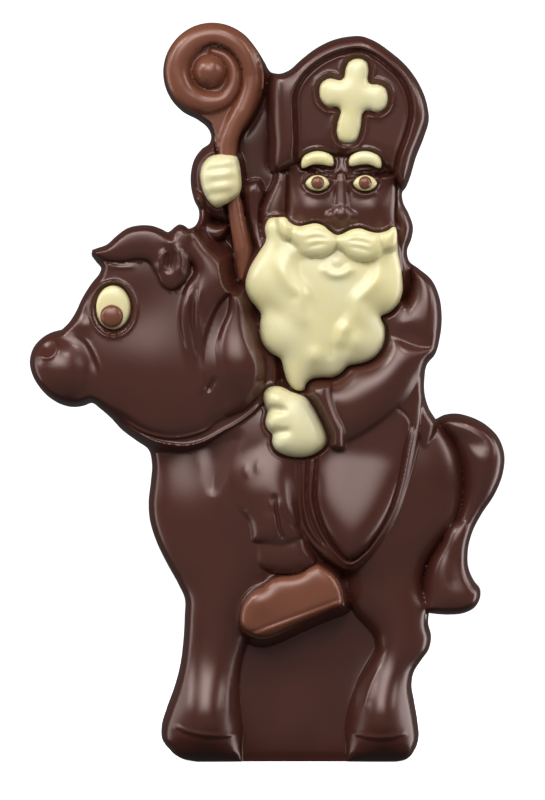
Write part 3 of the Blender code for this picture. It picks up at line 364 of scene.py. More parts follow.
riderShape = {
    "cloak": [(7.4, 86), (7.4, 77), (7.9, 69.5), (9, 63.6), (12, 58.6), (16.4, 54.8), (22.7, 51.8),
        (27.6, 55.2), (31.8, 60.6), (35.4, 67.4), (38, 75.2), (39.9, 83.2), (41.2, 91.4), (42, 98),
        (50, 104), (40, 122), (10, 122)],
    "cloakField": [(13.6, 90), (13.4, 82), (12.9, 76), (12.8, 71), (13.9, 66), (15.8, 61.8), (18.6, 57.8),
        (22.3, 54.6), (25.8, 56.6), (29.6, 61.2), (33, 67.4), (35.6, 75.4), (37.2, 84), (38.6, 92),
        (30, 98), (16, 98)],
    "hip": [(39.6, 103), (38.2, 97.4), (38.6, 91.6), (40, 86.4), (41.6, 83.2), (43.6, 84.8), (45.4, 88.6),
        (45.9, 92.6), (50, 98), (50, 106)],
    "sole": [(-7.1, 36.8), (-7.5, 39.6), (-6.9, 42.7), (-5.3, 45.4), (-2.8, 47.3), (-0.9, 48.2),
        (0.8, 49.7), (3.3, 50.6), (6.4, 50.8), (9, 51.5), (11.6, 53.2), (13.7, 53.9), (15.9, 52.9),
        (18.4, 51), (19.9, 48.4), (20.9, 44.8), (20.9, 42.3), (17.3, 40.7), (12, 38.4), (6, 35.6),
        (2, 33.8), (-1.2, 33), (-4.1, 33.7), (-6.2, 35.2)],
    "ankle": [(-3.9, 61), (-3.8, 57), (-2.8, 53), (1, 51.2), (5.4, 50.6), (9.6, 51.4), (13.4, 54.4),
        (12, 58), (10.6, 62), (3, 64)],
    "shin": [(-7, 67), (-5.6, 65), (-4.7, 61.6), (-4.3, 59.5), (-2.5, 58.7), (1, 57.9), (4.5, 57.7),
        (7.5, 58.9), (9.9, 60.8), (9, 64), (8.4, 68), (6, 73), (-2, 73), (-6.4, 70)],
    "knee": [(-10.2, 80.2), (-10.3, 75.6), (-9.4, 71), (-7.6, 67.6), (-5.2, 66.2), (-1.4, 66),
        (2.6, 65.2), (8.6, 63.4), (8.4, 70), (7.6, 77), (8, 88), (2, 90), (-2, 86.6), (-6.2, 84.8),
        (-8.8, 82.6)],
    "upperArm": [(39, 134.2), (39.1, 130), (38.3, 126), (36.2, 122.9), (33.4, 120.6), (31.4, 119.8),
        (31.6, 117.4), (32.6, 115), (36.6, 114), (40.2, 112.6), (43, 110.6), (46, 106.5), (54, 110),
        (54, 128), (44, 140)],
    "forearm": [(32.2, 115.6), (32.4, 113.8), (30.6, 110.4), (28, 108.4), (22.8, 106.8), (20.4, 104.6),
        (18.2, 103.2), (12.6, 102.8), (10.6, 101), (10.2, 99.4), (12.2, 96.4), (14.2, 92.6), (16, 88.6),
        (17.8, 85.8), (20.2, 84.6), (23, 85.6), (27.4, 88), (32.2, 91.4), (36.4, 95.2), (39.6, 99.6),
        (41.8, 104), (45.6, 107.6), (48, 112), (41, 112.8), (36.8, 114.4)],
    "cuff": [(9.6, 100.8), (12.8, 102.6), (17.2, 102.4), (17.6, 99.6), (18.6, 96.2), (19.8, 93.2),
        (20.9, 90.8), (21, 87.6), (20.4, 84.4), (18, 84.6), (16.4, 87.2), (14.4, 91.4), (12.2, 96)],
}
inlayShape = {
    "beard": [(0.6, 146.6), (-0.6, 144), (-0.2, 141), (-1.9, 137.9), (-4.1, 134.4), (-5.5, 131),
        (-5.8, 128.2), (-4.9, 125.4), (-3.1, 123), (-1.6, 120.8), (-1.9, 118.2), (-1.8, 115.2),
        (-0.8, 112.4), (1.2, 110.3), (3.6, 108.9), (4.5, 106), (5.4, 103), (6.9, 100.9), (8.6, 100.2),
        (9.9, 100.4), (10.4, 101.9), (12, 103.4), (14.8, 103.8), (17.8, 103.9), (20, 105.1),
        (21.8, 106.9), (24, 107.4), (26.6, 108), (29.2, 109.5), (31, 111.9), (31.8, 115), (31.6, 117.6),
        (30.6, 120.2), (32.8, 121.2), (35.1, 123.4), (36.4, 126.4), (36.5, 129.6), (36, 133.4),
        (35.2, 137.4), (34.9, 140.6), (34.9, 142.6), (34.3, 144.3), (32.4, 143.2), (29.6, 142.6),
        (27.2, 143.1), (25, 143.8), (22.4, 143.4), (20.4, 142.4), (18.8, 142), (17.2, 142.8),
        (15.2, 144.5), (13, 145.2), (10.8, 144.8), (8.6, 144.4), (6.4, 145.2), (4.6, 146.9),
        (3.4, 146.8)],
    "moustache": [(3.4, 147.6), (3, 145.2), (3.2, 143), (4.5, 141.2), (6.3, 140.3), (7.5, 139.6),
        (9.4, 137.2), (12.4, 136.1), (15.4, 136.4), (17.6, 137.7), (18.8, 138.8), (19.8, 138.5),
        (21.8, 136.5), (24.4, 135.2), (27.4, 135), (29.8, 136.1), (31.2, 137.6), (33.5, 138.2),
        (34.9, 140), (36, 145), (28, 146), (18.8, 144), (11, 148)],
    "reinGlove": [(-0.7, 99.8), (-0.9, 98), (-0.5, 96.2), (0.2, 94.7), (-0.1, 93.3), (-0.4, 91.6),
        (0.2, 89.9), (1.5, 88.4), (1.4, 86.4), (2.4, 84.3), (4.6, 83), (7.6, 82.4), (11, 82.6),
        (13.8, 83.8), (15.6, 85.5), (16, 87.6), (15.2, 90.1), (13.8, 93.1), (12, 96.4), (10.3, 98.5),
        (8.8, 99.2), (6.4, 100), (4.4, 101.1), (2.4, 101.5), (0.2, 100.9)],
    "staffGlove": [(-15.6, 163.1), (-17.2, 161.4), (-17.9, 158.8), (-17.6, 155.6), (-16.7, 152.9),
        (-15.1, 150.6), (-13.6, 149.6), (-11.6, 150.3), (-9.4, 151.6), (-7.6, 153), (-6.9, 155.2),
        (-7, 158.2), (-7.4, 161.2), (-8.1, 163.3), (-10.4, 164), (-13.2, 163.9)],
    "shoe": [(-6.7, 36.9), (-7.1, 39.6), (-6.5, 42.4), (-5, 45), (-2.6, 46.8), (-0.6, 47.6), (1, 49.2),
        (3.4, 50.1), (6.4, 50.3), (9.2, 51), (11.8, 52.7), (13.6, 53.4), (15.6, 52.4), (18, 50.6),
        (19.4, 48.2), (20.4, 44.6), (20.3, 42.8), (17.2, 41.4), (12, 39.2), (6, 36.5), (2, 34.8),
        (-1, 34), (-3.8, 34.6), (-5.8, 35.8)],
    "cross": [(20.8, 184.6), (21.1, 186.6), (22.0, 188.6), (24.4, 189.6), (26.7, 188.7), (27.3, 186.6),
        (27.1, 183.6), (27.5, 182.9), (29.8, 182.6), (31.8, 181.6), (32.5, 179.0), (31.8, 176.4),
        (30, 175.2), (26.4, 175.6), (25.8, 175), (25.3, 172), (24.7, 169.2), (23.8, 167.5), (21.7, 166.9),
        (19.5, 167.7), (18.8, 169.6), (19.1, 172.6), (19.7, 176), (19.2, 176.5), (16.4, 176.7),
        (14.7, 178.2), (14.1, 180.6), (14.6, 182.9), (16.6, 184.2), (20.2, 183.9)],
    "staff": [(-10.9, 152.6, corner), (-9.9, 145), (-8.9, 138), (-8, 131.5), (-7.4, 129.6), (-6.2, 131),
        (-4.6, 134.4), (-3.8, 137), (-4.6, 141), (-6, 147), (-7.6, 154.0, corner)],
}

beardValley = [(7.4, 135.4), (7.6, 131.4), (10.6, 127.4), (11, 123.4), (13, 119.4), (15.2, 114.6),
               (17.2, 109.6), (18.4, 113.8), (20.4, 118.6), (22.6, 122), (23.4, 125.4), (26.6, 128.4),
               (28.6, 132), (28.4, 135.6), (24, 138), (12, 138)]

crook = {
    "centre": (-14.8, 186.8),
    "radius": 13.45,
    "inlayRadius": 12.7,
    "ball": (-15.5, 186.3),
    "ballRadius": 4.4,
    "ground": 17.6,  # height from which the scroll's round rod rises
    "spiralCentre": (-15.2, 186.2),
    "angles": [-68, -44, -18, 13, 48, 84, 122, 157, 187, 218, 255, 297, 316, 342, 373, 408, 444],
    "reaches": [16.4, 13.1, 11.5, 10.5, 10.0, 9.8, 9.5, 9.2, 9.0, 8.9, 8.5, 8.1, 7.5, 6.7, 6.1, 5.7, 5.6],
    "radii": [2.7, 3.0, 2.8, 2.6, 2.95, 3.2, 3.3, 3.4, 3.45, 3.4, 3.5, 3.3, 2.8, 2.1, 1.8, 1.4, 1.0],
    "neck": [(-3.2, 192.6), (-1.7, 189.4), (-0.9, 185.6), (-1.1, 181.6), (-2.7, 176.6), (-5.0, 172.6),
             (-7.2, 169.4), (-7.9, 166.8), (-8.3, 162.6, corner), (-12.4, 162.6, corner), (-13.5, 166.4),
             (-13.6, 168.4), (-13.8, 170.4), (-15.0, 172.6), (-17.2, 174.2), (-19.6, 175.2)],
}
crook["inlay"] = arc(crook["centre"], crook["inlayRadius"], 236, 40, 14) + crook["neck"]
edgeShape["crook"] = arc(crook["centre"], crook["radius"], 233, 32, 11)
aroundTop = ["snout", "brow", "forelock", "raisedArm", "crook", "saddle", "mitre", "hair", "shoulder",
             "tail", "hindLeg"]
upperSides = [point for part in aroundTop for point in edgeShape[part]]
silhouette = upperSides + edgeShape["frontLeg"]
# The shoulder's roll stops at the foot: there the sides run on straight down, past the floor
castSides = ([point for point in upperSides if point[1] > 2.7] + [(37, -8), (-24, -8)]
             + [point for point in edgeShape["frontLeg"] if point[1] > 2.6])

# The face is a plain one of its own: five eyes wide, the eyes one eye's width apart
face = {"axis": 20.0, "eyeWidth": 6.4, "eyeHeight": 4.4, "eyeLine": 156.2, "pupil": 1.75, "browLine": 161.9}
horseFace = {"eye": (-41.3, 122.6), "across": 4.6, "up": 5.9, "pupil": (-41.7, 120.3), "pupilRadius": 3.1,
             "snout": (-55.6, 105.6), "nostril": (-59.2, 111.6)}


# In the calls below a pad gives its outline, the heights of its edge and crown and the roll between them;
# a line gives its path, height and half width; a bump its centre, radius and height. All are millimetres.
def carveHorse(relief):
    relief.pad(horseShape["body"], 13.0, 23.5, 28, fall=5)
    relief.bump((-21.5, 87), 8, -2.9, stretch=1.5)  # the chest leans back under the rein
    relief.bump((-16.2, 11.5), 8, 3.8, stretch=1.35)  # the fetlocks swell above the hooves
    relief.bump((30.8, 12), 7, 3.6, stretch=1.5)
    relief.line([(-10.4, 9.5), (-10.5, 17), (-10.2, 25)], 0.25, 0.45, fade=0.4)
    for side in (22.6, 25.4):
        relief.line([(side, 11.5), (side + 2.2, 20), (side + 6, 28)], 0.25, 0.45, fade=0.35)
    for hoof in ("frontHoofLine", "hindHoofLine"):
        relief.line(horseLegShape[hoof], 0.35, 0.6)
        relief.line([(x, z - 1.1) for x, z in horseLegShape[hoof]], -0.2, 0.6)
    relief.pad(horseShape["tailRoot"], 13.0, 22.0, 14, blend=0.5)
    relief.pad(horseShape["tailTip"], 15.0, 21.5, 10, blend=0.5)
    relief.line([(49, 89.4), (51.5, 88), (55, 86.6), (58.6, 84.6), (60.6, 82)], -0.8, 2.3, fade=0.4)
    relief.line([(51.5, 60), (50, 54), (50.4, 48), (53, 44.6)], -0.6, 1.8, fade=0.35)
    relief.lower(chestWedge, 0.9, soft=4.2)  # the fold of the chest under the rein


def carveHorseHead(relief):
    relief.pad(horseHeadShape["neck"], 20.6, 22.2, 1.6, fall=2.2, blend=0.4)
    relief.line([(x, z + 0.7) for x, z in horseHeadShape["neck"][1:11]], 0.8, 0.45, fade=0.1)
    relief.pad(horseHeadShape["cheek"], 21.9, 25.6, 18, fall=3, blend=0.3)
    relief.line([(x, z + 0.6) for x, z in horseHeadShape["cheek"][2:9]], 0.6, 0.4, fade=0.15)
    inHead = relief.inside(horseHeadShape["cheek"])
    relief.bump((-33, 104), 15, 2.6, stretch=1.1, only=inHead)
    relief.bump((-38, 133), 9, 1.3, only=inHead)
    relief.ball(horseFace["snout"], 10.0, 18.4, blend=1.4)
    crease = [(-53.2, 116), (-50.4, 114.4), (-48, 111), (-46.4, 107), (-45.6, 103)]
    relief.line(crease, -0.7, 1.3, fade=0.35)
    relief.line([(x + 1.3, z - 0.2) for x, z in crease], 0.45, 0.5, fade=0.35)
    relief.bump((-49.6, 118.2), 2.2, 0.7)
    relief.bump(horseFace["nostril"], 1.5, -0.9)
    curl = [(-58.4, 114.4), (-57.0, 113.4), (-56.6, 111.4), (-57.6, 109.5), (-59.6, 109.0), (-61.4, 110.2)]
    relief.line(curl, 0.45, 0.55)
    relief.pad(horseHeadShape["mane"], 21.8, 25.6, 9, fall=3)
    relief.pad(horseHeadShape["sideLock"], 24.6, 28.0, 6.0, fall=2.2, blend=0.8, tilt=(0, 0.11),
               about=(0, 116))
    relief.bump((-8.4, 106), 8, 2.5, only=inHead)
    relief.pad(horseHeadShape["frontLock"], 24.6, 28.4, 5.5, fall=3, blend=0.5)
    relief.line([(-20.6, 131), (-21.8, 125), (-22.4, 119), (-21.4, 112), (-19, 104)], 0.8, 1.1, fade=0.3)
    relief.line([(-19.0, 130), (-19.8, 125), (-20, 119), (-19, 112), (-17.2, 104)], -0.7, 0.8, fade=0.3)
    relief.line([(-17.4, 131), (-18.3, 126), (-18.6, 120), (-17.6, 113)], 0.7, 0.9, fade=0.45)
    relief.line([(-16.6, 99.4), (-14.8, 102), (-13.4, 104.4)], -0.9, 0.8, fade=0.35)
    relief.pad(horseHeadShape["fringe"], 24.6, 28.4, 5, fall=2.6, power=2.8)
    relief.line([(-44, 134.1), (-40, 133.4), (-35, 133.6)], 0.4, 0.5, fade=0.35)
    relief.line([(-26.9, 144.4), (-26.2, 142.4), (-24.6, 140.4)], -1.2, 1.3, fade=0.4)
    relief.line([(-25.7, 140.6), (-26.2, 136), (-26.9, 131)], -0.8, 1.9, fade=0.35)
    relief.line([(-25.4, 138.6), (-26.0, 135.2), (-26.7, 131.4)], -0.5, 0.5, fade=0.3)
    earRim = [(-25.3, 140), (-23.7, 137.8), (-22.9, 135.2), (-23.3, 132.6), (-24.7, 130.6)]
    relief.line(earRim, 1.0, 0.9, fade=0.3)
    relief.line([(-26.5, 138.8), (-28.0, 136.6), (-28.7, 134.2), (-28.2, 131.6)], 0.8, 0.8, fade=0.3)
    socket = ellipse((-41.3, 122.2), 5.9, 7.2)
    relief.lower(socket, 0.9, soft=0.9)
    relief.ring(socket, 0.5, 0.45, inset=-0.35)
    relief.ring(socket, 0.3, 0.3, inset=0.75)


def carveRiderHead(relief):
    relief.pad(riderHeadShape["hood"], 12.5, 13.8, 3)
    relief.pad(riderHeadShape["raisedSleeve"], 13.0, 19.5, 9)
    relief.pad(riderHeadShape["cuffRoll"], 15.2, 18.8, 4.0, tilt=(0.03, -0.24), about=(-15, 144), blend=1.6)
    relief.pad(riderHeadShape["collar"], 14.4, 19.2, 3.2)
    relief.line([(-3.6, 156), (-3.4, 150), (-3.2, 144), (-2.6, 138)], -0.6, 0.6, fade=0.3)
    relief.pad(riderHeadShape["leftHair"], 15.5, 20.0, 5)
    relief.pad(riderHeadShape["rightHair"], 15.5, 20.5, 5)
    relief.line([(35.2, 153.6), (35.1, 149), (34.8, 145)], 0.7, 0.5, fade=0.3)
    relief.pad(riderHeadShape["lowHair"], 15.5, 19.5, 4)
    relief.pad(riderHeadShape["face"], 18.2, 21.6, 8)
    relief.line([(4.9, 161), (4.8, 154), (4.9, 148)], 0.6, 0.5, fade=0.2)
    relief.pad(riderHeadShape["mitreRim"], 19.0, 24.8, 5, fall=5)
    relief.lower(riderHeadShape["mitreField"], 1.7, soft=1.2)
    relief.ring(riderHeadShape["mitreField"], -0.5, 0.45, inset=0.5)
    relief.ring(riderHeadShape["mitreField"], 0.35, 0.4, inset=1.5)
    carveFace(relief)


def carveFace(relief):
    middle, eyeLine = face["axis"], face["eyeLine"]
    for side in (-1, 1):
        eye = middle + side * face["eyeWidth"]
        relief.bump((eye, eyeLine), 4.4, -0.6, stretch=0.8)
        relief.line([(eye - 4.0, eyeLine - 0.4), (eye - 2.4, eyeLine + 2.0), (eye, eyeLine + 2.8),
                     (eye + 2.4, eyeLine + 2.0), (eye + 4.0, eyeLine - 0.4)], 0.8, 0.7)
        lowerLid = [(eye - 3.4, eyeLine - 2.1), (eye, eyeLine - 3.3), (eye + 3.4, eyeLine - 2.1)]
        relief.line(lowerLid, 0.45, 0.8)
        relief.bump((middle + side * 8.4, eyeLine - 7.0), 4.6, 1.2)
    nose = [(middle, eyeLine + drop) for drop in (1.6, -2, -6.4, -9.4)]
    relief.tube(nose, 20.6, (1.5, 1.9, 2.4, 2.8), blend=2.2, fall=0.8)
    relief.ball((middle, eyeLine - 8.6), 3.0, 21.2, blend=1.0)
    for side in (-1, 1):
        relief.ball((middle + side * 2.9, eyeLine - 9.2), 1.9, 20.9, blend=0.8)


def carveRider(relief):
    relief.pad(riderShape["cloak"], 20.6, 23.2, 5, fall=3)
    relief.pad(riderShape["cloakField"], 21.8, 27.8, 7, fall=3, slant=(-0.02, -0.2), about=(20, 61),
               blend=0.4)
    relief.ring(riderShape["cloakField"], -0.6, 0.5)
    leftHem = [(8.9, 84), (8.8, 76), (9.0, 69), (10.0, 64.2), (12.6, 60), (16.8, 56.4)]
    relief.line(leftHem, -0.45, 0.45, fade=0.1)
    relief.line([(x + 1.1, z) for x, z in leftHem], 0.3, 0.5, fade=0.1)
    rim = [(12.4, 84), (11.9, 76), (11.7, 71), (12.9, 65.8), (14.9, 61.4), (17.8, 57.2), (22.4, 53.6),
           (26.2, 56), (30.2, 61), (33.6, 67.2), (36.3, 75.4), (38, 84), (39.4, 91)]
    relief.line(rim, 0.8, 0.6, fade=0.04)
    relief.line([(x - 1.2, z) for x, z in rim[:6]], -0.55, 0.45, fade=0.1)
    relief.pad(riderShape["hip"], 16.0, 21.8, 6, fall=3)
    relief.pad(riderShape["sole"], 19.5, 21.2, 3, fall=3.4)
    relief.pad(riderShape["ankle"], 18.6, 23.8, 7)
    relief.pad(riderShape["shin"], 19.6, 26.0, 7, slant=(0.04, -0.03), about=(0, 62), blend=0.8)
    relief.pad(riderShape["knee"], 19.6, 28.0, 13, slant=(0.15, -0.24), about=(0, 67), blend=1.6)
    relief.line([(1.9, 72.6), (2.5, 68), (3.3, 63.6), (4.4, 60)], -0.7, 0.6, fade=0.1)
    beside = [(1.9, 71.4), (2.5, 68), (3.3, 63.6), (4.2, 60.6)]
    for shift in (-0.9, 1.0):
        relief.line([(x + shift, z) for x, z in beside], 0.25, 0.4, fade=0.25)
    relief.line([(-5.2, 81.4), (-5.8, 78.8), (-5.4, 75.8)], 0.3, 0.8, fade=0.5)
    relief.line([(-1.6, 83.0), (-2.4, 80.2), (-2.5, 76.6)], 0.3, 0.8, fade=0.5)
    relief.pad(riderShape["upperArm"], 17.5, 27.4, 15)
    relief.line([(41.2, 133), (41.4, 127), (40.9, 121), (39.8, 116)], -0.4, 2.0, fade=0.35)
    relief.pad(riderShape["forearm"], 19.8, 29.0, 14)
    relief.pad(riderShape["cuff"], 24.6, 29.2, 5)


def bodyHeights(spots):
    relief = Relief(spots, casting["plate"], silhouette)
    carveHorse(relief)
    carveRiderHead(relief)
    carveRider(relief)
    carveHorseHead(relief)
    for inlay in inlays.values():
        if "host" not in inlay:
            relief.pad(inlay["outline"], inlay["seat"], inlay["seat"] + seam["bed"], 1, fall=3, blend=0.5)
            relief.moat(inlay["outline"], *inlay.get("moat", seam["moat"]))
            relief.seat(inlay["outline"], inlay["seat"])
    depth, _ = depthIn(spots, curve(castSides))
    height = relief.height * dome(depth / casting["shoulder"], casting["squareness"])
    return height * (1 - casting["toeDrop"] * eased(1 - spots[:, 1] / casting["toe"]))


def carveBeard(relief):
    relief.pad(inlayShape["beard"], 21.6, 27.6, 11)
    relief.lower(beardValley, 0.9, soft=3.8)
    for wave in ([(3.4, 139), (3.6, 134), (6.4, 128.6), (9.2, 125.8), (8.4, 121.6), (10, 117)],
                 [(31, 135), (30.2, 131), (27, 127.4), (24.4, 124.4), (25.6, 120), (27.8, 115)]):
        relief.line(wave, 0.9, 2.0, fade=0.3)
    relief.line([(21.2, 119.4), (19.6, 115.8), (18.6, 111)], 0.7, 1.7, fade=0.4)
    relief.line([(22.2, 118), (21.6, 113), (20.4, 108.4)], -0.5, 1.6, fade=0.4)
    relief.line([(-3.2, 124.4), (1.4, 121.8), (6.4, 119.4)], -0.5, 2.2, fade=0.4)
    for x, z, radius, amount in ((-0.4, 129.6, 5.0, 0.5), (9.6, 119.4, 2.4, 0.4), (12.8, 109.4, 2.5, 0.9),
                                 (24, 113.4, 2.7, 0.7), (4.4, 114, 4.4, 0.6), (31.4, 126, 4.0, 0.6)):
        relief.bump((x, z), radius, amount)
    relief.pad(inlayShape["moustache"], 26.2, 28.8, 4.2, fall=2.6, blend=0.5)
    relief.line([(7.1, 139.2), (6.5, 142), (7.4, 145.2)], -0.8, 0.8, fade=0.3)
    relief.line([(31.3, 137.4), (30.7, 140.2), (30.7, 143)], -0.8, 0.8, fade=0.3)
    relief.line([(18.9, 143), (18.9, 140.4), (18.9, 138)], -0.8, 0.8, fade=0.3)
    for strand in ([(17.2, 142), (13.4, 143.4), (9.6, 142.8)],
                   [(17.2, 140.8), (13.4, 141.4), (9.4, 140.6)],
                   [(17, 139.6), (13.4, 139.4), (10, 138.4)],
                   [(20.6, 141.6), (24.4, 142.4), (28.2, 141.6)],
                   [(20.6, 140.4), (24.6, 140.4), (28.6, 139.4)],
                   [(21, 139.2), (25, 138.4), (28.6, 137.4)]):
        relief.line(strand, -0.4, 0.4, fade=0.35)
    relief.line([(14.8, 134.0), (16.4, 132.1), (18.9, 131.3), (21.4, 132.1), (23.0, 134.0)], 1.0, 1.1)
    relief.bump((18.9, 135.2), 2.2, 0.7)


def carveReinGlove(relief):
    relief.pad(inlayShape["reinGlove"], 22.3, 28.4, 7)
    for centre, radius, amount in (((1.8, 98.2), 2.6, 0.9), ((1.4, 91.9), 2.2, 0.9), ((3.6, 86), 2.4, 0.8)):
        relief.bump(centre, radius, amount)
    relief.line([(-1.6, 94.9), (2.0, 95.3), (6.0, 94.8)], -1.2, 0.9, fade=0.3)
    relief.line([(0.2, 88.6), (3.4, 89.2), (7.2, 89.4)], -1.2, 0.9, fade=0.3)


def carveStaffGlove(relief):
    relief.pad(inlayShape["staffGlove"], 19.3, 24.3, 6)
    for low in (160.4, 157.2, 153.8):
        finger = [(-18.4, low - 1.4), (-14.5, low - 0.7), (-10.5, low - 0.2), (-7.0, low + 0.6)]
        relief.line(finger, -0.55, 1.0, fade=0.35)


def carveShoe(relief):
    relief.pad(inlayShape["shoe"], 21.9, 25.0, 3.6, tilt=(-0.03, 0.05), about=(6, 42), power=2.6)
    sole = [(-7.4, 35.2), (-4, 35.4), (0, 36.9), (10, 40.6), (20.8, 44.6)]
    relief.line(sole, -0.3, 0.45, fade=0.05)
    relief.line([(x - 0.3, z - 1) for x, z in sole], 0.3, 0.6, fade=0.05)
    relief.bump((-1.5, 43), 4.0, 0.8)


def carveCross(relief):
    relief.pad(inlayShape["cross"], 22.8, 24.9, 3.4)


def carveCrook(relief):
    relief.height[:] = crook["ground"]
    turn = np.radians(crook["angles"])
    path = [(crook["spiralCentre"][0] + r * math.cos(t), crook["spiralCentre"][1] + r * math.sin(t))
            for r, t in zip(crook["reaches"], turn)]
    path = [(-10.4, 161.0), (-10.2, 168.0)] + path
    relief.tube(path, crook["ground"], [2.5, 2.6] + crook["radii"], blend=0.7)
    relief.ball(crook["ball"], crook["ballRadius"], crook["ground"], blend=0.7)


def carveStaff(relief):
    relief.height[:] = 15.0
    relief.tube([(-9.4, 155.0), (-8.0, 145.0), (-6.6, 138.0), (-6.6, 130.0)], 16.6, (2.1, 2.4, 2.6, 1.2))


def roundDrop(outline, edge, rise=1.4):
    def carve(relief):
        relief.pad(outline, edge, edge + rise, 3)
    return carve


inlays = {
    "crook": {"outline": crook["inlay"], "seat": 15.5, "carve": carveCrook, "kind": "milk", "cell": 0.45},
    "staff": {"outline": inlayShape["staff"], "seat": 14.5, "carve": carveStaff, "kind": "milk"},
    "staff_glove": {"outline": inlayShape["staffGlove"], "seat": 18.0, "carve": carveStaffGlove,
                    "kind": "white"},
    "rein_glove": {"outline": inlayShape["reinGlove"], "seat": 21.5, "carve": carveReinGlove,
                   "kind": "white"},
    "beard": {"outline": inlayShape["beard"], "seat": 20.5, "carve": carveBeard, "kind": "white",
              "cell": 0.5},
    "cross": {"outline": inlayShape["cross"], "seat": 22.2, "carve": carveCross, "kind": "white",
              "cell": 0.5, "moat": (1.1, 0.45, 0.45)},
    "shoe": {"outline": inlayShape["shoe"], "seat": 21.0, "carve": carveShoe, "kind": "milk", "cell": 0.4},
}


def addEye(side, white, pupil, pupilRadius, level):
    dark = ellipse(pupil, pupilRadius, pupilRadius, 20)
    inlays[side + "eye"] = {"outline": white, "seat": level - 0.8, "carve": roundDrop(white, level),
                            "kind": "white", "cell": 0.4, "moat": (0.5, 0.3, 0.3)}
    inlays[side + "pupil"] = {"outline": dark, "seat": level + 0.4,
                              "carve": roundDrop(dark, level + 1.2, 2.0),
                              "kind": "milk", "cell": 0.35, "host": side + "eye"}


def addBrow(side, sign):
    rise = [(2.3, 0.0, 1.2), (4.4, 0.8, 1.7), (7.4, 1.0, 1.7), (10.6, -0.5, 1.2)]
    above = [(face["axis"] + sign * x, face["browLine"] + z + thick) for x, z, thick in rise]
    below = [(face["axis"] + sign * x, face["browLine"] + z - thick) for x, z, thick in reversed(rise)]
    outline = above + below
    inlays[side + "brow"] = {"outline": outline, "seat": 21.8, "carve": roundDrop(outline, 22.6),
                             "kind": "white", "cell": 0.4, "moat": (0.6, 0.4, 0.35)}


def almond(centre, across, up):  # an open eye, calm, with its corners a little below the middle
    lid = [(-1.0, -0.1), (-0.66, 0.62), (0.0, 0.92), (0.66, 0.62), (1.0, -0.1), (0.62, -0.74), (0.0, -1.0),
           (-0.62, -0.74)]
    return [(centre[0] + x * across, centre[1] + z * up) for x, z in lid]


for side, sign in (("left_", -1), ("right_", 1)):
    eye = (face["axis"] + sign * face["eyeWidth"], face["eyeLine"])
    addEye(side, almond(eye, face["eyeWidth"] / 2, face["eyeHeight"] / 2), eye, face["pupil"], 22.4)
    addBrow(side, sign)
addEye("horse_", ellipse(horseFace["eye"], horseFace["across"], horseFace["up"]), horseFace["pupil"],
       horseFace["pupilRadius"], 25.2)


def trimmedGrid(cell, loop, inset):  # a flat grid inside a curve, its rim drawn onto the inset curve
    low = loop.min(0) - cell
    high = loop.max(0) + cell
    across, up = np.ceil((high - low) / cell).astype(int)
    grid = bmesh.new()
    bmesh.ops.create_grid(grid, x_segments=across, y_segments=up, size=0.5)
    bmesh.ops.scale(grid, vec=(across * cell, up * cell, 1), verts=grid.verts)
    bmesh.ops.translate(grid, vec=(low[0] + across * cell / 2, low[1] + up * cell / 2, 0), verts=grid.verts)
    depth, _ = depthIn(np.array([part.calc_center_median()[:2] for part in grid.faces]), loop)
    outside = [part for part, deep in zip(grid.faces, depth) if deep < inset + 0.1 * cell]
    while outside:
        bmesh.ops.delete(grid, geom=outside, context="FACES")
        outside = [part for part in grid.faces if sum(edge.is_boundary for edge in part.edges) > 2]
    drawToRim(grid, loop, inset)
    bmesh.ops.remove_doubles(grid, verts=[v for v in grid.verts if v.is_boundary], dist=0.2 * cell)
    return grid


def drawToRim(grid, loop, inset):
    rim = [vert for vert in grid.verts if vert.is_boundary]
    spots = np.array([vert.co[:2] for vert in rim])
    foot, _ = nearestOn(spots, loop)
    depth, _ = depthIn(spots, loop)
    inward = (spots - foot) * np.sign(depth)[:, None]
    inward /= np.maximum(np.hypot(*inward.T), 1e-6)[:, None]
    lean = inset * eased(foot[:, 1] / casting["toe"])
    for vert, place, way, inBy in zip(rim, foot, inward, lean):
        vert.co.x, vert.co.y = place + way * inBy


# Splits the faces whose edges miss the real relief by more than the tolerance
def refine(grid, heightsOf, loop, inset):
    for _ in range(casting["refinements"]):
        grid.verts.index_update()
        edges = list(grid.edges)
        ends = np.array([[v.index for v in edge.verts] for edge in edges])
        spots = np.array([vert.co[:2] for vert in grid.verts])
        tops = heightsOf(spots)
        middles = heightsOf(spots[ends].mean(1))
        miss = np.abs(middles - tops[ends].mean(1))
        busy = {part for edge, off in zip(edges, miss) if off > casting["tolerance"]
                for part in edge.link_faces}
        split = list({edge for part in busy for edge in part.edges})
        bmesh.ops.subdivide_edges(grid, edges=split, cuts=1, use_grid_fill=True)
        drawToRim(grid, loop, inset)
        print("  refined to", len(grid.faces), "faces")


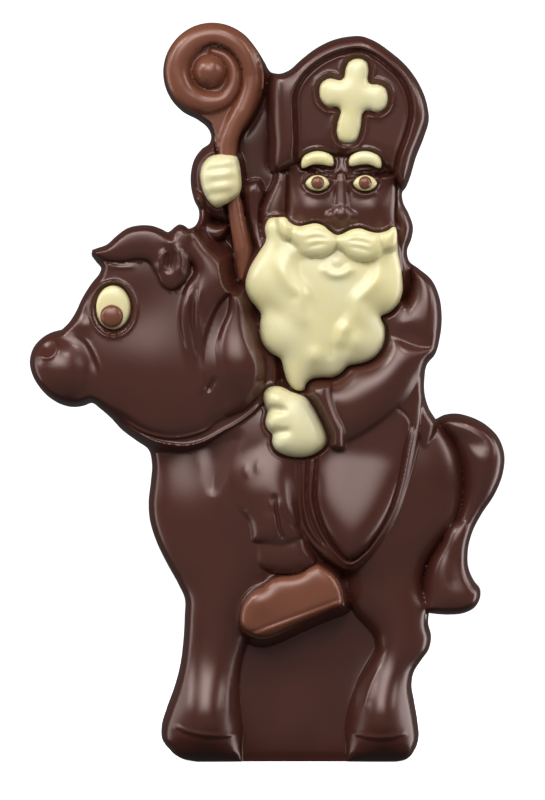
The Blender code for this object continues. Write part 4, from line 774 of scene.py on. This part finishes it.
def castPiece(name, outline, cell, heightsOf, floor, inset=0.0, fine=False):
    loop = curve(outline, step=0.6)
    grid = trimmedGrid(cell, loop, inset)
    if fine:
        refine(grid, heightsOf, loop, inset)
    front = list(grid.verts)
    heights = heightsOf(np.array([vert.co[:2] for vert in front]))
    border = [edge for edge in grid.edges if edge.is_boundary]
    made = bmesh.ops.extrude_edge_only(grid, edges=border)["geom"]
    skirt = [item for item in made if isinstance(item, bmesh.types.BMVert)]
    foot, _ = nearestOn(np.array([vert.co[:2] for vert in skirt]), loop)
    for vert, height in zip(front, heights):
        standUp(vert, height)
    for vert, place in zip(skirt, foot):
        vert.co.x, vert.co.y = place
        standUp(vert, floor)
    if inset:
        bmesh.ops.remove_doubles(grid, verts=skirt, dist=0.00005)
    rim = [edge for edge in grid.edges if edge.is_boundary]
    back = bmesh.ops.holes_fill(grid, edges=rim, sides=0)["faces"]
    bmesh.ops.triangulate(grid, faces=back)
    bmesh.ops.recalc_face_normals(grid, faces=grid.faces)
    if grid.calc_volume(signed=True) < 0:
        bmesh.ops.reverse_faces(grid, faces=grid.faces)
    mesh = bpy.data.meshes.new(name)
    grid.to_mesh(mesh)
    grid.free()
    mesh.shade_smooth()
    mesh.set_sharp_from_angle(angle=math.radians(60))
    piece = bpy.data.objects.new(name, mesh)
    bpy.context.scene.collection.objects.link(piece)
    print(name, len(mesh.polygons), "faces")
    return piece


def standUp(vert, height):  # turns a flat vertex upright and sets its height above the back, in metres
    across, up = vert.co[:2]
    vert.co = (across * 0.001, (casting["back"] - height) * 0.001, up * 0.001)


def inlayHeights(inlay):
    def heights(spots):
        relief = Relief(spots, 0, inlay["outline"])
        inlay["carve"](relief)
        return relief.height
    return heights


def linear(code):  # an sRGB hex colour as linear values
    parts = [int(code[i:i + 2], 16) / 255 for i in (0, 2, 4)]
    return [p / 12.92 if p <= 0.04045 else ((p + 0.055) / 1.055)**2.4 for p in parts]


def addNode(material, kind, settings=None, inputs=None):
    node = material.node_tree.nodes.new(kind)
    for key, value in (settings or {}).items():
        setattr(node, key, value)
    for key, value in (inputs or {}).items():
        if isinstance(value, bpy.types.NodeSocket):
            material.node_tree.links.new(value, node.inputs[key])
        else:
            node.inputs[key].default_value = value
    return node


chocolates = {
    # Dark chocolate, moulded: nearly black with a red cast, so its soft glints show every form
    "dark": {"name": "darkChocolate", "base": "3d1d16", "warm": "44221a", "roughness": 0.28,
             "tint": "ffe8e2"},
    # Milk chocolate, moulded: a mid brown whose shading shows beside the glints
    "milk": {"name": "milkChocolate", "base": "683c2a", "warm": "724432", "roughness": 0.30,
             "tint": "ffe8e2"},
    # White chocolate, moulded: cream, with light that passes a little way in and softens the folds
    "white": {"name": "whiteChocolate", "base": "d3c996", "warm": "d9d3ae", "roughness": 0.30,
              "tint": "ffffff"},
}
skin = {
    "cloudScale": 60.0,  # faint clouds of cocoa butter about 17 mm across
    "grainScale": 1400.0,  # grain of about 0.7 mm, drawn coarser than the real one so that it can show
    "grainStrength": 0.02,
    "grainDepth": 0.0002,
    "ior": 1.6,  # a little above plain fat, for the sheen of tempered chocolate
    # Metres that red, green and blue light pass into the white one
    "depthOfLight": (0.0020, 0.0014, 0.0007),
    "shareOfDepth": 0.35,
}


# Tempered chocolate cast in a polished mould: a smooth satin skin that keeps faint clouds of colour
def chocolate(finish):
    material = bpy.data.materials.new(finish["name"])
    material.use_nodes = True
    tree = material.node_tree
    shader = tree.nodes["Principled BSDF"]
    place = addNode(material, "ShaderNodeTexCoord").outputs["Object"]
    clouds = addNode(material, "ShaderNodeTexNoise", {}, {"Vector": place, "Scale": skin["cloudScale"],
                                                          "Detail": 3.0})
    ramp = addNode(material, "ShaderNodeValToRGB", {}, {"Fac": clouds.outputs["Fac"]})
    ramp.color_ramp.elements[0].position = 0.35
    ramp.color_ramp.elements[0].color = (*linear(finish["base"]), 1)
    ramp.color_ramp.elements[1].position = 0.7
    ramp.color_ramp.elements[1].color = (*linear(finish["warm"]), 1)
    tree.links.new(ramp.outputs["Color"], shader.inputs["Base Color"])
    shader.inputs["Roughness"].default_value = finish["roughness"]
    shader.inputs["IOR"].default_value = skin["ior"]
    shader.inputs["Specular Tint"].default_value = (*linear(finish["tint"]), 1)
    grain = addNode(material, "ShaderNodeTexNoise", {}, {"Vector": place, "Scale": skin["grainScale"],
                                                         "Detail": 2.0})
    bump = addNode(material, "ShaderNodeBump", {}, {"Height": grain.outputs["Fac"],
                                                    "Strength": skin["grainStrength"],
                                                    "Distance": skin["grainDepth"]})
    tree.links.new(bump.outputs["Normal"], shader.inputs["Normal"])
    if finish is chocolates["white"]:
        shader.inputs["Subsurface Weight"].default_value = skin["shareOfDepth"]
        shader.inputs["Subsurface Radius"].default_value = skin["depthOfLight"]
        shader.inputs["Subsurface Scale"].default_value = 1.0
    return material


materials = {kind: chocolate(finish) for kind, finish in chocolates.items()}


def dress(piece, node, kind):
    piece.data.materials.append(materials[kind])
    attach(piece, "root")
    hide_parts(node)


body = castPiece("darkCasting", silhouette, casting["cell"], bodyHeights, 0.0, casting["draft"], fine=True)
dress(body, "body", "dark")
for node, inlay in inlays.items():
    level = inlay["seat"] - seam["pupilRoot" if "host" in inlay else "root"]
    piece = castPiece(node + "Inlay", inlay["outline"], inlay.get("cell", seam["inlayCell"]),
                      inlayHeights(inlay), level)
    dress(piece, node, inlay["kind"])
print("pieces cast")

studio = {
    "frameWidth": 545,
    "frameHeight": 800,
    "mmPerPixel": 0.27,
    "centrePixel": (267.0, 762.0),  # the origin's place in the frame
    "distance": 2.2,
    "sensor": 24.0,
    "paper": 0.9,  # grey of the sweep, and the share of its own light that keeps it pale
    "paperRoughness": 0.8,
    "sweepHalf": 2.0,  # half the width of the flat part of the sweep
    "sweepBend": 0.6,
    "sweepWall": 2.5,
    "ambient": 0.07,
}


def addCamera():
    tall = studio["frameHeight"] * studio["mmPerPixel"] * 0.001
    across = (studio["frameWidth"] / 2 - studio["centrePixel"][0]) * studio["mmPerPixel"] * 0.001
    up = (studio["centrePixel"][1] - studio["frameHeight"] / 2) * studio["mmPerPixel"] * 0.001
    lens = bpy.data.cameras.new("camera")
    lens.sensor_fit = "VERTICAL"
    lens.sensor_height = studio["sensor"]
    lens.lens = studio["sensor"] * studio["distance"] / tall
    camera = bpy.data.objects.new("camera", lens)
    camera.location = (across, -studio["distance"], up)
    camera.rotation_euler = (math.radians(90), 0, 0)
    bpy.context.scene.collection.objects.link(camera)
    bpy.context.scene.camera = camera


# Four nested boxes above the camera fade softly into each other; sparks and strips light the edges
lamps = {
    "frontCore": {"place": (-0.20, -1.36, 0.96), "size": (0.8, 0.5), "radiance": 2.4},
    "frontBox": {"place": (-0.20, -1.36, 0.97), "size": (1.2, 0.85), "radiance": 2.15},
    "frontWide": {"place": (-0.20, -1.36, 1.05), "size": (1.7, 1.2), "radiance": 1.35},
    "frontHalo": {"place": (-0.20, -1.36, 1.15), "size": (2.3, 1.6), "radiance": 0.85},
    "leftSpark": {"place": (-1.02, -0.76, 1.20), "size": (0.20, 0.30), "radiance": 26.0},
    "rightSpark": {"place": (0.42, -0.95, 1.42), "size": (0.20, 0.24), "radiance": 24.0},
    "leftStrip": {"place": (-1.20, -0.45, 0.85), "size": (0.3, 0.8), "radiance": 8.0},
    "rightStrip": {"place": (1.20, -0.55, 0.80), "size": (0.25, 0.8), "radiance": 8.0},
    "leftCard": {"place": (-1.30, 0.10, 0.10), "size": (0.7, 1.2), "radiance": 2.2},
    "rightCard": {"place": (1.25, 0.25, 0.10), "size": (1.0, 1.4), "radiance": 4.0},
    "tableGlow": {"place": (0, -0.62, 0.004), "size": (2.4, 1.2), "radiance": 0.2, "aim": (0, -0.62, 1)},
}


def addLamp(name, place, size, radiance, aim=(0, 0, 0.1)):
    light = bpy.data.lights.new(name, "AREA")
    light.shape = "RECTANGLE"
    light.size, light.size_y = size
    light.energy = radiance * math.pi * size[0] * size[1]
    lamp = bpy.data.objects.new(name, light)
    lamp.location = place
    lamp.rotation_euler = (Vector(aim) - Vector(place)).to_track_quat("-Z", "Y").to_euler()
    lamp.visible_camera = False
    bpy.context.scene.collection.objects.link(lamp)


def addFloor():  # a pale sweep: flat under the figure, curving up far behind it
    sweep = bmesh.new()
    bmesh.ops.create_grid(sweep, x_segments=1, y_segments=1, size=studio["sweepHalf"])
    rear = [edge for edge in sweep.edges if all(vert.co.y > 0 for vert in edge.verts)]
    bend = bmesh.ops.spin(sweep, geom=rear, cent=(0, studio["sweepHalf"], studio["sweepBend"]),
                          axis=(1, 0, 0), angle=math.radians(90), steps=24, dvec=(0, 0, 0))
    edge = [item for item in bend["geom_last"] if isinstance(item, bmesh.types.BMEdge)]
    made = bmesh.ops.extrude_edge_only(sweep, edges=edge)["geom"]
    top = [item for item in made if isinstance(item, bmesh.types.BMVert)]
    bmesh.ops.translate(sweep, verts=top, vec=(0, 0, studio["sweepWall"]))
    bmesh.ops.recalc_face_normals(sweep, faces=sweep.faces)
    mesh = bpy.data.meshes.new("studioSweep")
    sweep.to_mesh(mesh)
    sweep.free()
    mesh.shade_smooth()
    floor = bpy.data.objects.new("studioSweep", mesh)
    bpy.context.scene.collection.objects.link(floor)
    paper = bpy.data.materials.new("palePaper")  # matt studio paper, lit evenly to a plain white
    paper.use_nodes = True
    sockets = paper.node_tree.nodes["Principled BSDF"].inputs
    sockets["Base Color"].default_value = (studio["paper"], studio["paper"], studio["paper"], 1)
    sockets["Roughness"].default_value = studio["paperRoughness"]
    sockets["Emission Color"].default_value = (1, 1, 1, 1)
    sockets["Emission Strength"].default_value = studio["paper"]
    mesh.materials.append(paper)
    floor.visible_glossy = False
    floor.visible_diffuse = False


def addWorld():
    world = bpy.data.worlds.new("studioWorld")
    world.use_nodes = True
    world.node_tree.nodes["Background"].inputs["Color"].default_value = (1, 1, 1, 1)
    world.node_tree.nodes["Background"].inputs["Strength"].default_value = studio["ambient"]
    bpy.context.scene.world = world
    bpy.context.scene.view_settings.view_transform = "Standard"


addCamera()
for name, lamp in lamps.items():
    addLamp(name, **lamp)
addFloor()
addWorld()
print("studio set")
